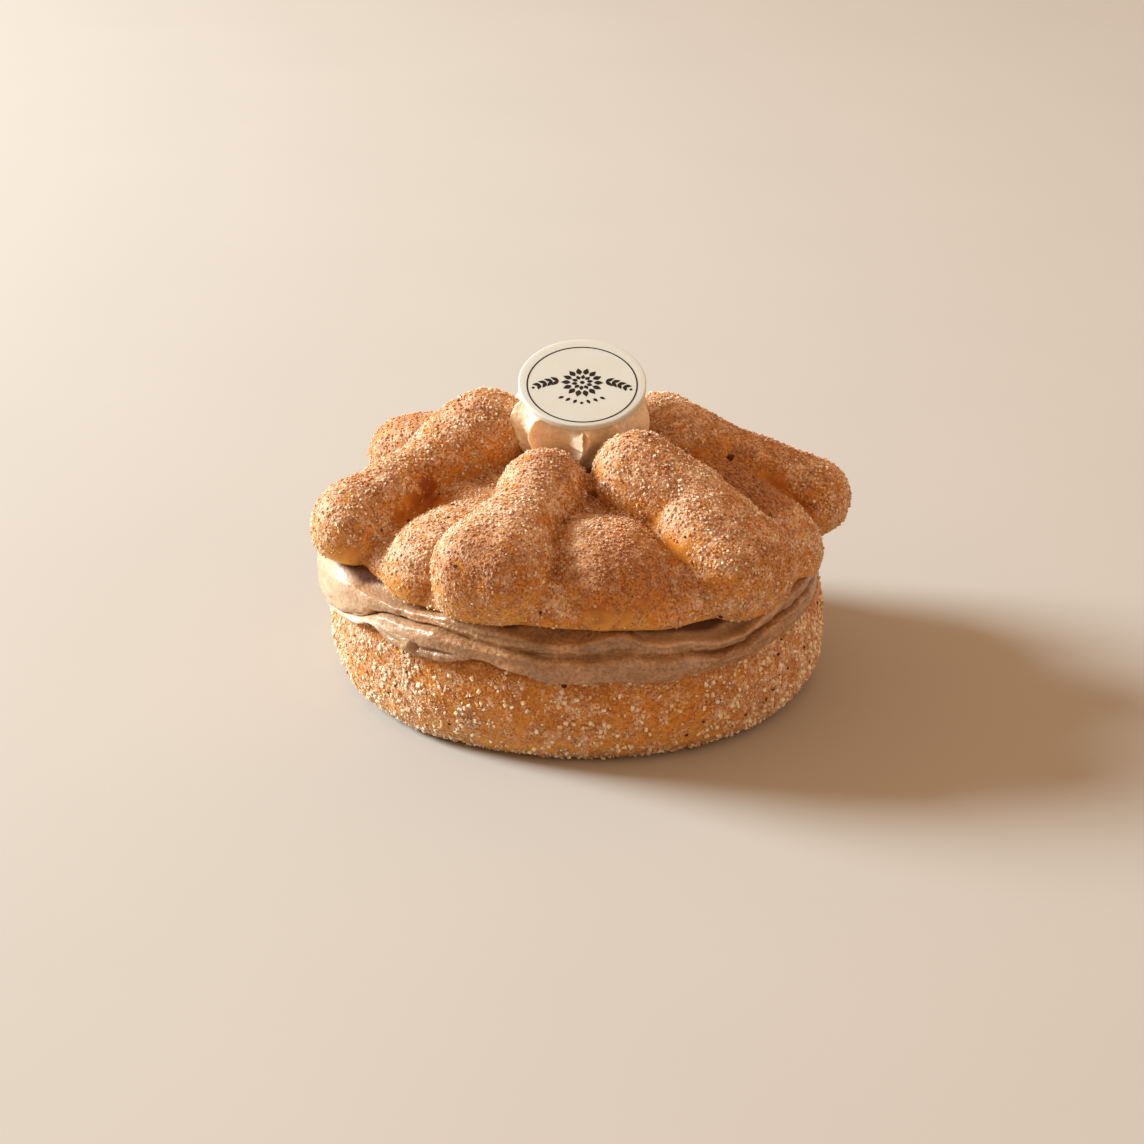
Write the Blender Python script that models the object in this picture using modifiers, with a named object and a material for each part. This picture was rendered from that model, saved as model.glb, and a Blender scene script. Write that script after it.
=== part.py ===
"""Cream-filled pan de muerto: a sliced sweet roll with crossed dough bones and a cream filling,
topped by a piped rosette and a leaning disc of white chocolate.

Metres, +Z up, origin at the centre of the flat underside, -Y towards the front.
Bearings are in degrees round the roll's axis, from +X towards +Y.
"""

import math

import bmesh
import bpy
from mathutils import Matrix, Vector, noise

MM = 0.001

# Driving sizes of the roll
ROLL_RADIUS = 60.0 * MM
FOOT_RADIUS = 52.0 * MM
BASE_HEIGHT = 24.0 * MM
FILLING_HEIGHT = 11.0 * MM
CUT_HEIGHT = BASE_HEIGHT + FILLING_HEIGHT
DOME_HEIGHT = 18.0 * MM
GAP = 0.3 * MM

# The slice under the upper half falls by this share towards the right
SLICE_LEAN = 0.04

# The turned outlines run from the top of the axis down the outer side. The base's radii and
# the dome's are shares of the roll's radius, the dome's heights shares of its own.
BASE_OUTLINE = ((0.0, 24.0), (0.50, 24.0), (0.962, 24.0), (0.978, 23.2), (0.988, 21.0), (0.997, 17.0),
                (1.0, 12.0), (0.993, 8.0), (0.972, 4.2), (0.936, 1.6), (0.90, 0.4))
DOME_OUTLINE = ((0.0, 0.95), (0.35, 0.90), (0.60, 0.78), (0.77, 0.62), (0.88, 0.42), (0.935, 0.22),
                (0.955, 0.04), (0.95, -0.08), (0.92, -0.16), (0.88, -0.22), (0.0, -0.22))

# The filling's two spread ridges and the groove between them: shares of the roll's radius,
# and mm below the filling's top
FILLING_OUTLINE = ((0.0, 0.0), (0.50, 0.0), (0.90, 0.0), (0.955, 0.5), (0.985, 1.8), (0.99, 3.2),
                   (0.968, 4.6), (0.985, 6.0), (1.01, 7.6), (1.012, 9.2), (0.998, 10.1))

# How far the crust bulges in and out, and over what length
BASE_UNEVENNESS = (0.8 * MM, 17.0 * MM)
TOP_UNEVENNESS = (0.7 * MM, 14.0 * MM)

# Dough arms, two ends to each crossed bone. Every station from the inner knob over the waist
# to the outer knob has its bearing in degrees, then its distance from the axis, its centre's
# height, its half width and its half height in mm.
ARMS = {
    "left": ((173, 22.6, 57.8, 10.8, 10.8), (192, 37.6, 51.6, 7.2, 7.2), (200, 47.5, 46.9, 9.2, 9.2),
             (201, 55.4, 43.0, 10.4, 10.6)),
    "right": ((10, 24.0, 56.2, 9.6, 9.6), (7, 35.6, 51.2, 8.4, 8.4), (4, 46.9, 46.5, 9.1, 9.1),
              (4, 56.0, 42.8, 9.2, 9.4)),
    "front_left": ((249, 21.5, 51.1, 10.8, 10.8), (250, 34.5, 49.4, 8.4, 7.8), (249, 42.5, 47.2, 10.8, 9.6),
                   (248.5, 51.0, 43.2, 14.0, 11.2)),
    "back_right": ((70, 21.0, 52.5, 9.8, 9.8), (68, 36.0, 48.5, 7.6, 7.6), (66, 51.0, 43.5, 10.5, 10.0)),
    "front_right": ((305, 23.8, 56.0, 10.6, 10.6), (311, 36.5, 50.8, 8.0, 8.0), (315, 46.5, 44.0, 12.6, 11.4),
                    (318, 52.0, 40.8, 12.6, 10.8)),
    "back_left": ((139, 21.0, 53.0, 9.5, 9.5), (142, 38.0, 48.8, 7.6, 7.6), (144, 53.8, 41.4, 9.8, 9.6)),
}
BALL_STEP = 2.0 * MM

# Swollen dough between two arms: bearing in degrees, then distance from the axis, height,
# half length, half width and half height in mm
LOBES = {
    "front": (283, 39.5, 39.4, 19.4, 14.8, 12.0),
    "front_left": (226, 36.5, 38.4, 22.5, 13.5, 12.0),
    "left": (172, 36.0, 37.5, 22.5, 14.0, 12.0),
    "back": (105, 36.0, 38.5, 22.5, 16.0, 12.5),
    "back_right": (35, 36.0, 37.0, 22.5, 15.0, 12.0),
    "right": (346, 38.0, 36.5, 21.5, 14.0, 12.0),
}

# The dough is fused at this voxel size, then thinned to about this many triangles
DOUGH_VOXEL = 1.2 * MM
DOUGH_SMOOTHING = 2
DOUGH_TRIANGLES = 7400

# The piped rosette: bearings of its sharp ridges, the depth of a wide flute between two of them,
# and its radius at each height in mm
ROSETTE_RIDGES = (18, 56, 94, 129, 163, 196, 228, 275, 304, 345)
ROSETTE_FLUTE = 0.17
ROSETTE_TWIST = math.radians(10)
ROSETTE_PROFILE = ((49.0, 9.0), (53.0, 12.0), (57.0, 14.2), (61.0, 16.0), (65.0, 16.6),
                   (69.0, 15.8), (73.0, 13.6), (77.0, 10.4), (80.0, 7.0))

# The white chocolate disc that leans on the rosette
DISC_RADIUS = 15.0 * MM
DISC_THICKNESS = 1.6 * MM
DISC_TILT = math.radians(24)
DISC_CENTRE = Vector((0.3, -2.0, 72.0)) * MM
DISC_EDGE = 0.4 * MM


def polar(bearing, distance, height):
    """A point at a bearing in degrees round the roll's axis."""
    angle = math.radians(bearing)
    return Vector((distance * math.cos(angle), distance * math.sin(angle), height))


def smooth(share):
    """Eases a share of the way from 0 to 1."""
    share = min(1.0, max(0.0, share))
    return share * share * (3.0 - 2.0 * share)


def clear_scene():
    for obj in list(bpy.data.objects):
        bpy.data.objects.remove(obj)


def collection(name):
    made = bpy.data.collections.new(name)
    bpy.context.scene.collection.children.link(made)
    return made


def food(name, colour, roughness):
    """A Principled material, its colour in linear RGB."""
    material = bpy.data.materials.new(name)
    material.use_nodes = True
    shader = material.node_tree.nodes["Principled BSDF"]
    shader.inputs["Base Color"].default_value = (*colour, 1.0)
    shader.inputs["Roughness"].default_value = roughness
    shader.inputs["Metallic"].default_value = 0.0
    return material


def as_mesh(bm, name):
    """Hands a finished bmesh over as a mesh."""
    mesh = bpy.data.meshes.new(name)
    bm.to_mesh(mesh)
    bm.free()
    return mesh


def add_object(name, mesh, group, material=None):
    obj = bpy.data.objects.new(name, mesh)
    if material is not None:
        mesh.materials.append(material)
    group.objects.link(obj)
    return obj


def frozen(obj):
    """Replaces the object's mesh by its evaluated one and drops the modifiers."""
    bpy.context.view_layer.update()
    graph = bpy.context.evaluated_depsgraph_get()
    mesh = bpy.data.meshes.new_from_object(obj.evaluated_get(graph))
    obj.modifiers.clear()
    obj.data = mesh
    return obj


def turned(name, outline, steps, group, material):
    """A solid of revolution from an outline that runs down the outer side, from axis to axis."""
    bm = bmesh.new()
    vertices = [bm.verts.new((radius, 0.0, height)) for radius, height in outline]
    for pair in zip(vertices, vertices[1:]):
        bm.edges.new(pair)
    obj = add_object(name, as_mesh(bm, name), group, material)
    screw = obj.modifiers.new("turn", "SCREW")
    screw.steps = screw.render_steps = steps
    screw.use_merge_vertices = True
    screw.merge_threshold = 0.00001
    return frozen(obj)


def reshaped(obj, moved):
    """Moves every vertex by a rule of its own place."""
    for vertex in obj.data.vertices:
        vertex.co = moved(vertex.co.copy())
    obj.data.shade_smooth()
    return obj


def roughened(point, unevenness):
    """A point pushed in or out from the roll's axis by smooth noise."""
    amount, length = unevenness
    push = 1.0 + amount * noise.noise(point / length) / max(point.xy.length, MM)
    return Vector((point.x * push, point.y * push, point.z))


def slice_drop(point):
    """How far the slice lies below its middle at a place."""
    return SLICE_LEAN * point.x


def slice_box(group):
    """A box under the slice, wider than the roll, its top leaning with the slice."""
    width = 4.0 * ROLL_RADIUS
    depth = 30.0 * MM
    bm = bmesh.new()
    bmesh.ops.create_cube(bm, size=1.0)
    bmesh.ops.scale(bm, vec=(width, width, depth), verts=bm.verts)
    bmesh.ops.translate(bm, vec=(0.0, 0.0, CUT_HEIGHT - depth / 2.0), verts=bm.verts)
    for vertex in bm.verts:
        vertex.co.z -= slice_drop(vertex.co)
    return as_helper(add_object("slice", as_mesh(bm, "slice"), group))


def as_helper(obj):
    obj.hide_render = True
    obj.display_type = "WIRE"
    return obj


def cut_away(obj, other, name):
    boolean = obj.modifiers.new(name, "BOOLEAN")
    boolean.operation = "DIFFERENCE"
    boolean.object = other
    boolean.solver = "EXACT"


def bread_base(group, crust):
    """The lower half: a flat foot, a bulging crust and a sliced top."""
    outline = [(radius * ROLL_RADIUS, height * MM) for radius, height in BASE_OUTLINE]
    outline += [(FOOT_RADIUS, 0.0), (0.45 * ROLL_RADIUS, 0.0), (0.0, 0.0)]
    base = turned("bread_base", outline, 72, group, crust)

    def bulged(point):
        if point.xy.length < 0.8 * ROLL_RADIUS:
            return point
        return roughened(point, BASE_UNEVENNESS)

    return reshaped(base, bulged)


def wave(bearing, *parts):
    """A sum of waves round the roll: each part is its count, height and phase in degrees."""
    return sum(height * math.cos(math.radians(count * bearing - phase)) for count, height, phase in parts)


def near(bearing, centre, width):
    """1 at a bearing, easing to 0 at width degrees from it."""
    away = abs((bearing - centre + 180.0) % 360.0 - 180.0)
    return smooth(1.0 - away / width)


def cream_filling(group, cream):
    """The layer of whipped cream, uneven at its edge and drooping over the base at the front."""
    low = BASE_HEIGHT + GAP
    high = CUT_HEIGHT - GAP
    outline = [(radius * ROLL_RADIUS, high - drop * MM) for radius, drop in FILLING_OUTLINE]
    outline += [(0.97 * ROLL_RADIUS, low), (0.5 * ROLL_RADIUS, low), (0.0, low)]
    filling = turned("cream_filling", outline, 96, group, cream)

    def spread(point):
        distance = point.xy.length
        share = (point.z - low) / (high - low)
        lean = slice_drop(point) * share
        if distance < 0.86 * ROLL_RADIUS:
            return Vector((point.x, point.y, point.z - lean))
        bearing = math.degrees(math.atan2(point.y, point.x))
        upper = smooth((share - 0.45) / 0.4) * smooth((1.0 - share) / 0.12)
        lower = smooth((0.5 - share) / 0.4)
        middle = smooth(1.6 * share) * smooth(1.6 - 1.6 * share)
        lip = smooth((distance / ROLL_RADIUS - 0.985) / 0.02)
        bulge = upper * (wave(bearing, (2, 0.7, 40), (5, 0.4, 130), (9, 0.25, 20))
                         + 3.4 * near(bearing, 200, 46) - 1.2 * near(bearing, 283, 34))
        bulge += lower * wave(bearing, (3, 0.4, 80), (7, 0.35, 210), (11, 0.2, 60))
        bulge -= 3.0 * near(bearing, 0, 62)
        rise = middle * wave(bearing, (2, 0.4, 100), (5, 0.45, 30), (8, 0.3, 190))
        droop = lower * lip * 2.2 * near(bearing, 282, 46)
        scale = 1.0 + bulge * MM / distance
        return Vector((point.x * scale, point.y * scale, point.z + (rise - droop) * MM - lean))

    return reshaped(filling, spread)


def add_ball(bm, bearing, centre, length, width, rise):
    """A ball of dough stretched along its bearing, or a row of three where it is wider than high."""
    across = polar(bearing + 90.0, max(width - rise, 0.0), 0.0)
    for side in ((-1, 0, 1) if width > rise else (0,)):
        place = (Matrix.Translation(centre + side * across) @ Matrix.Rotation(math.radians(bearing), 4, "Z")
                 @ Matrix.Diagonal((length, min(width, rise), rise, 1.0)))
        bmesh.ops.create_icosphere(bm, subdivisions=3, radius=1.0, matrix=place)


def add_arm(bm, stations):
    """A rolled dough arm: balls run along it, swelling and thinning from station to station."""
    for this, following in zip(stations, stations[1:]):
        count = math.ceil((following[1] - this[1]) * MM / BALL_STEP)
        for i in range(count + 1):
            share = i / count
            bearing, distance, height = (this[k] + (following[k] - this[k]) * share for k in range(3))
            width, rise = ((this[k] + (following[k] - this[k]) * smooth(share)) * MM for k in (3, 4))
            add_ball(bm, bearing, polar(bearing, distance * MM, height * MM), rise, width, rise)


def add_lobe(bm, bearing, distance, height, length, width, rise):
    """Dough that swells between two neighbouring arms."""
    add_ball(bm, bearing, polar(bearing, distance * MM, height * MM), length * MM, width * MM, rise * MM)


def add_dome(bm):
    """The half roll under the arms, turned from its outline."""
    vertices = [bm.verts.new((radius * ROLL_RADIUS, 0.0, CUT_HEIGHT + height * DOME_HEIGHT))
                for radius, height in DOME_OUTLINE]
    edges = [bm.edges.new(pair) for pair in zip(vertices, vertices[1:])]
    bmesh.ops.spin(bm, geom=vertices + edges, axis=(0, 0, 1), cent=(0, 0, 0), steps=72,
                   angle=2.0 * math.pi, use_merge=True)


def bread_top(group, helpers, crust):
    """The upper half: dome, swollen dough and six arms baked into one crust, sliced flat underneath."""
    bm = bmesh.new()
    add_dome(bm)
    for lobe in LOBES.values():
        add_lobe(bm, *lobe)
    for stations in ARMS.values():
        add_arm(bm, stations)
    bmesh.ops.recalc_face_normals(bm, faces=bm.faces)
    top = add_object("bread_top", as_mesh(bm, "bread_top"), group)
    fuse = top.modifiers.new("fuse", "REMESH")
    fuse.mode = "VOXEL"
    fuse.voxel_size = DOUGH_VOXEL
    soften = top.modifiers.new("soften", "SMOOTH")
    soften.factor = 0.5
    soften.iterations = DOUGH_SMOOTHING
    frozen(top)
    thin = top.modifiers.new("thin", "DECIMATE")
    thin.ratio = DOUGH_TRIANGLES / (2.0 * len(top.data.polygons))
    frozen(top)
    reshaped(top, lambda point: roughened(point, TOP_UNEVENNESS))
    cut_away(top, slice_box(helpers), "slice")
    return coated(frozen(top), crust)


def coated(obj, material):
    """One material over the whole piece, shaded smooth."""
    obj.data.materials.clear()
    obj.data.materials.append(material)
    obj.data.shade_smooth()
    return obj


def disc_frame():
    """Where the disc's middle is and how it leans: its own +Z is the printed side."""
    return Matrix.Translation(DISC_CENTRE) @ Matrix.Rotation(DISC_TILT, 4, "X")


def add_disc(name, radius, thickness, group):
    bm = bmesh.new()
    bmesh.ops.create_cone(bm, cap_ends=True, segments=60, radius1=radius, radius2=radius, depth=thickness)
    disc = add_object(name, as_mesh(bm, name), group)
    disc.matrix_world = disc_frame()
    return disc


def chocolate_disc(group, chocolate):
    """A thin cast disc with softened edges, leaning towards the front."""
    disc = add_disc("chocolate_disc", DISC_RADIUS, DISC_THICKNESS, group)
    disc.data.materials.append(chocolate)
    bevel = disc.modifiers.new("edge", "BEVEL")
    bevel.width = DISC_EDGE
    bevel.segments = 2
    return disc


def flute(angle):
    """Radius factor of the star nozzle's outline: sharp ridges, hollow flutes, the widest deepest."""
    bearing = math.degrees(angle) % 360.0
    ridges = ROSETTE_RIDGES + (ROSETTE_RIDGES[0] + 360,)
    if bearing < ridges[0]:
        bearing += 360.0
    this, following = next(pair for pair in zip(ridges, ridges[1:]) if bearing <= pair[1])
    share = (bearing - this) / (following - this)
    widest = max(end - start for start, end in zip(ridges, ridges[1:]))
    return 1.0 - ROSETTE_FLUTE * (following - this) / widest * math.sin(math.pi * share) ** 0.75


def cream_rosette(group, helpers, cream, bread):
    """A fluted dollop that fills the hollow between the arms and takes the disc's underside."""
    bm = bmesh.new()
    ring = bmesh.ops.create_circle(bm, cap_ends=True, segments=90, radius=1.0)["verts"]
    edges = list({edge for vertex in ring for edge in vertex.link_edges})
    levels = [ring]
    for _ in ROSETTE_PROFILE[1:]:
        made = bmesh.ops.extrude_edge_only(bm, edges=edges)["geom"]
        ring = [item for item in made if isinstance(item, bmesh.types.BMVert)]
        edges = [item for item in made if isinstance(item, bmesh.types.BMEdge)
                 and all(vertex in ring for vertex in item.verts)]
        levels.append(ring)
    bmesh.ops.contextual_create(bm, geom=edges)
    for level, (ring, (height, radius)) in enumerate(zip(levels, ROSETTE_PROFILE)):
        twist = ROSETTE_TWIST * (level / (len(levels) - 1) - 0.5)
        for vertex in ring:
            angle = math.atan2(vertex.co.y, vertex.co.x)
            vertex.co = polar(math.degrees(angle + twist), radius * MM * flute(angle), height * MM)
    bmesh.ops.recalc_face_normals(bm, faces=bm.faces)
    rosette = add_object("cream_rosette", as_mesh(bm, "cream_rosette"), group)
    seat = as_helper(add_object("seat", bread.data.copy(), helpers))
    clearance = seat.modifiers.new("clearance", "DISPLACE")
    clearance.strength = GAP
    clearance.mid_level = 0.0
    cut_away(rosette, seat, "seat")
    depth = 30.0 * MM
    pressed = as_helper(add_disc("pressed", 1.6 * DISC_RADIUS, depth, helpers))
    pressed.matrix_world = disc_frame() @ Matrix.Translation((0, 0, (depth - DISC_THICKNESS) / 2.0 - GAP))
    cut_away(rosette, pressed, "pressed")
    coated(frozen(rosette), cream)
    rosette.data.set_sharp_from_angle(angle=math.radians(38))
    return rosette


def main():
    clear_scene()
    parts = collection("pan_de_muerto")
    helpers = collection("cutters")
    bread_base(parts, food("sugared_lower_crust", (0.50, 0.22, 0.09), 0.75))
    cream_filling(parts, food("whipped_filling", (0.42, 0.25, 0.15), 0.4))
    top = bread_top(parts, helpers, food("sugared_upper_crust", (0.52, 0.23, 0.09), 0.75))
    chocolate_disc(parts, food("white_chocolate", (0.86, 0.80, 0.66), 0.35))
    cream_rosette(parts, helpers, food("piped_cream", (0.60, 0.42, 0.27), 0.45), top)


if __name__ == "__main__":
    main()
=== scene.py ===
import functools
import math

import bmesh
import bpy
import numpy as np
from bpy.props import FloatProperty, FloatVectorProperty, IntProperty, PointerProperty
from bpy.types import Operator, Panel, PropertyGroup
from mathutils import Matrix, Vector, noise
from mathutils.bvhtree import BVHTree


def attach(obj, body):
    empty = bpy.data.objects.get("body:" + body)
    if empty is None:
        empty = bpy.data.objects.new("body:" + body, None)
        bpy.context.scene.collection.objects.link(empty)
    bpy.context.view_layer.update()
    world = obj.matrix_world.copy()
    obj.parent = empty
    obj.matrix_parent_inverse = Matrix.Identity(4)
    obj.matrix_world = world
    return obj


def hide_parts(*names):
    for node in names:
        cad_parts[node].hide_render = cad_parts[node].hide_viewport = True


bl_info = {
    "name": "Cream-filled pan de muerto",
    "version": (1, 0, 0),
    "blender": (4, 5, 0),
    "location": "3D View > Sidebar > Bread",
    "description": "Builds a sugared pan de muerto with cream, a piped rosette and a printed disc",
    "category": "Object",
}

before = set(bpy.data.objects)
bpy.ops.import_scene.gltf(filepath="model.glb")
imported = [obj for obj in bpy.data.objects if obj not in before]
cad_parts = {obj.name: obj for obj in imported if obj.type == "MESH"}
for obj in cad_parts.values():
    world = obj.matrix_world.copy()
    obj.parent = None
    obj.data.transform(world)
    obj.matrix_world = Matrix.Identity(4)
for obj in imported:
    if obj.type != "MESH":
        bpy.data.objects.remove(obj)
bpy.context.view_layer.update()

MM = 0.001


def linear(hex_colour):
    """An sRGB hex colour as linear RGBA."""
    parts = (int(hex_colour[i:i + 2], 16) / 255.0 for i in (1, 3, 5))
    return (*(c / 12.92 if c <= 0.04045 else ((c + 0.055) / 1.055) ** 2.4 for c in parts), 1.0)


# Dough arms, and a lobe that is rolled like them: bearing in degrees, then distance from the axis,
# centre's height, half width and half height in mm, from the inner knob to the outer one
ARMS = {
    "left": ((173, 22.6, 57.8, 10.8, 10.8), (192, 37.6, 51.6, 7.2, 7.2), (200, 47.5, 46.9, 9.2, 9.2),
             (201, 55.4, 43, 10.4, 10.6)),
    "right": ((10, 24, 56.2, 9.6, 9.6), (7, 35.6, 51.2, 8.4, 8.4), (5, 46.9, 47, 8.6, 8.8),
              (4, 56, 42.8, 9.2, 9.4)),
    "front_left": ((249, 21.5, 51.1, 10.8, 10.8), (250, 34.5, 49.4, 8.4, 7.8), (249, 42.5, 47.2, 10.8, 9.6),
                   (248.5, 51, 43.2, 14, 11.2)),
    "back_right": ((70, 21, 52.5, 9.8, 9.8), (68, 36, 48.5, 7.6, 7.6), (66, 51, 43.5, 10.5, 10)),
    "front_right": ((305, 23.8, 56, 10.6, 10.6), (314, 36, 51.4, 10.4, 9.8), (313.5, 45.5, 44.8, 13.2, 11),
                    (315, 52, 40.8, 14.4, 10.8)),
    "back_left": ((139, 21, 53, 9.5, 9.5), (142, 38, 48.8, 7.6, 7.6), (144, 53.8, 41.4, 9.8, 9.6)),
    "right_lobe": ((345, 24, 47, 8.5, 9), (345, 35, 43, 11.5, 12.5), (345, 46, 37.8, 11.5, 11),
                   (344, 50, 35.5, 11, 9.5)),
}

# Swollen dough between the arms: bearing, distance, height, half length, half width, half height
LOBES = {
    "front": (279.5, 39.8, 39.6, 19.4, 14.6, 12.2),
    "front_left": (226, 36.5, 38.4, 22.5, 13.5, 12),
    "left": (172, 36, 37.5, 22.5, 14, 12),
    "back": (105, 36, 38.5, 22.5, 16, 12.5),
    "back_right": (35, 36, 37, 22.5, 15, 12),
}

# Turned outlines, top to bottom down the outer side: shares of the roll's radius, then mm of
# height on the base and shares of the dome's height on the dome
BASE_OUTLINE = (
    (0.962, 24), (0.978, 23.2), (0.988, 21), (0.997, 17), (1, 12), (0.993, 8), (0.972, 4.2), (0.936, 1.6),
    (0.90, 0.4), (0.867, 0),
)
DOME_OUTLINE = (
    (0, 0.95), (0.35, 0.90), (0.60, 0.78), (0.77, 0.62), (0.88, 0.42), (0.935, 0.22), (0.955, 0.04),
    (0.95, -0.08), (0.92, -0.16), (0.88, -0.22), (0, -0.22),
)

# How far the upper half's rim hangs below the slice: bearing, mm
RIM_DROOP = (
    (0, 0.6), (40, 0.5), (90, 0.7), (140, 0.5), (180, 0.4), (204, 0.5), (212, 1.8), (220, 2.5), (228, 3),
    (235, 2.9), (241, 2.7), (247, 2.6), (256, 1.9), (262, 1.5), (270, 1.7), (284, 1.7), (292, 1.9),
    (300, 1.2), (308, 1.9), (314, 2.3), (322, 1), (335, 0.6),
)

# Where the crust shows with little sugar on it: bearing, distance, height and reach in mm, and
# how much of the sugar is gone
BARE_PATCHES = {
    "pocket under the left arm": (208.5, 40, 50.3, 10, 1.3),
    "pocket's outer end": (212, 45.5, 47, 7, 0.7),
    "left arm's underside": (208.5, 60.5, 38, 9, 0.75),
    "left arm's waist": (195, 35, 59, 5, 0.35),
    "dimple on the back left arm": (160, 42, 54, 6, 0.8),
    "front right arm's left flank": (300, 47.5, 47.5, 9, 0.42),
    "flank's upper end": (301, 37, 52.5, 6.5, 0.35),
    "flank's lower end": (302, 55, 42, 8.5, 0.4),
    "front left arm's waist": (260, 42, 53, 6, 0.5),
    "right arm's flank": (359, 33, 54.5, 8, 0.55),
    "right arm's flank, further out": (357, 45, 49.5, 8, 0.6),
    "right knob's flank": (352, 51, 46, 8, 0.5),
    "front lobe's lip": (275, 57.5, 35.5, 6, 0.6),
    "front lobe's lip, right": (288, 57.5, 35.5, 7, 0.6),
    "front lobe's foot": (280, 56, 40, 12, 0.6),
    "back left arm's end": (148, 50, 50, 15, 0.5),
    "inner knob's left side": (281, 24.5, 59, 5, 0.4),
}

# The filling round the roll: bearing in degrees, then a height or a radius in mm. The lip is the
# upper spread ridge, the fold the groove under it, the belly the lower ridge and the hem its edge.
LIP_HEIGHT = (
    (0, 33.4), (40, 33), (80, 32.2), (120, 33), (160, 31.6), (185, 31), (200, 30.6), (208, 32), (217, 33.1),
    (228, 33.5), (235, 33.5), (241, 32.8), (248, 31.8), (254, 31.8), (260, 32.5), (267, 32.3), (276, 32.5),
    (282, 31.7), (288, 30.7), (296, 29.9), (302, 28.7), (306, 28.8), (311, 29.9), (318, 30.9), (325, 32.2),
    (335, 33.1),
)
LIP_RADIUS = (
    (0, 57.2), (40, 58.6), (90, 60), (140, 60.4), (170, 61.2), (190, 62.6), (203, 62.6), (210, 62.2),
    (216, 60.8), (222, 59.2), (232, 58.4), (243, 58.6), (255, 59.2), (285, 59.3), (300, 59.4), (312, 59.2),
    (325, 58.4), (342, 57.4),
)
LIP_GAP = (
    (0, 0.6), (60, 1), (120, 0.6), (170, 0.5), (196, 0.9), (206, 1.2), (211, 2.2), (216, 3.8), (222, 4.4),
    (230, 4.2), (237, 3), (243, 1.5), (250, 1), (256, 2.8), (263, 4), (271, 3.5), (277, 1.6), (281, 1.3),
    (285, 3), (290, 3.6), (297, 3.8), (303, 4.8), (309, 4.6), (315, 2.6), (322, 1), (335, 0.5),
)
FOLD_HEIGHT = (
    (0, 28.4), (45, 27.6), (90, 28.6), (135, 27.4), (170, 26.2), (190, 24.4), (200, 23.9), (208, 24.6),
    (215, 26), (219, 27.8), (222, 29), (228, 30), (235, 30.3), (242, 29.7), (250, 28.9), (258, 28.3),
    (266, 27.5), (274, 27.9), (282, 28.8), (288, 28.5), (294, 27.7), (301, 26.3), (306, 26), (311, 26.6),
    (318, 27.6), (326, 28.6), (338, 28.8),
)
FOLD_DEPTH = (
    (0, 1.3), (60, 1.7), (130, 1.2), (180, 1.8), (205, 2.2), (219, 2.6), (226, 2.2), (233, 1.2), (240, 0.4),
    (250, 0.15), (257, 0.4), (263, 0.8), (272, 0.5), (282, 0.3), (294, 0.5), (303, 1.3), (312, 1.8),
    (325, 1.6), (340, 1.4),
)
FOLD_WIDTH = (
    (0, 0.8), (90, 0.7), (180, 0.5), (222, 0.45), (232, 0.6), (244, 0.9), (262, 1.3), (276, 1.5), (296, 1),
    (306, 0.8), (325, 0.7),
)
BELLY_HEIGHT = (
    (0, 26), (60, 25.6), (120, 26.4), (170, 25.4), (195, 23.6), (206, 24.2), (214, 25.6), (222, 27),
    (230, 27.6), (238, 27.2), (248, 27.6), (256, 26.6), (266, 25.2), (276, 24.8), (288, 24.8), (296, 24.2),
    (304, 24.3), (310, 24.8), (316, 26.2), (322, 27.4), (330, 27.4), (345, 26.6),
)
BELLY_RADIUS = (
    (0, 57.8), (45, 59.4), (100, 60.2), (150, 60.6), (190, 61.4), (208, 61.2), (225, 61), (250, 60.8),
    (270, 61.2), (290, 61.2), (308, 60.8), (320, 59.8), (335, 58.4), (350, 57.6),
)
HEM_HEIGHT = (
    (0, 23.9), (60, 23.3), (110, 24), (160, 23.2), (190, 24.4), (205, 25.4), (214, 26), (220, 25.5),
    (224, 24), (229, 23.1), (234, 22.7), (240, 23.2), (246, 24.8), (250, 25.3), (254, 24.7), (258, 23.5),
    (263, 22.3), (268, 22), (276, 22.3), (283, 22), (289, 21.5), (295, 21.6), (302, 22), (309, 22.6),
    (316, 23.4), (325, 23.9), (340, 24.2),
)

# Knife marks, slits, pits and lumps in the filling: bearing, height, half length in degrees, half
# height in mm, depth in mm (a lump's is negative), and rise in mm for each degree
MARKS = (
    (219.2, 27.7, 2.1, 0.75, 2.8, 0.02), (214, 26.3, 3.5, 0.35, 1, 0.22), (239, 25.3, 4.2, 0.32, 1.5, 0.06),
    (233.6, 25.1, 0.9, 0.8, 1.3, 0.10), (222, 24.6, 2.2, 0.35, 1.1, -0.30),
    (226.5, 24.9, 4, 0.35, -0.7, -0.24), (231.8, 24.6, 1.4, 1.1, -0.9, 0),
    (228, 26.2, 5.5, 0.30, -0.35, -0.16), (243, 30.9, 7, 0.35, -0.35, -0.10),
    (262, 27.9, 5, 0.35, 0.7, -0.03), (284.2, 33.2, 1.1, 1, -1.4, 0), (279, 33.2, 2.6, 0.9, -0.9, 0),
    (305.5, 24.6, 2.2, 0.28, 0.8, 0.22), (309.5, 24.3, 2.6, 0.6, -0.5, 0.16),
    (315.5, 27.3, 1.1, 0.4, 0.7, 0.2), (321.5, 25.9, 5.5, 0.5, 0.9, 0.28), (288, 26.4, 1.6, 0.3, 0.5, 0.08),
    (318.5, 29.6, 6, 0.4, -0.3, 0.22), (256, 24.4, 3, 0.5, -0.5, -0.10), (199, 29.5, 2, 0.5, 0.5, -0.10),
    (203, 27.4, 3, 0.5, -0.3, 0.2), (60, 26, 5, 0.4, 1.2, 0.1), (96, 29.4, 4, 0.4, 1, -0.1),
    (128, 25.4, 6, 0.4, 1.1, 0.08), (165, 28.4, 5, 0.4, 1.2, -0.06), (28, 29.8, 4, 0.4, 0.9, 0.1),
)

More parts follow.
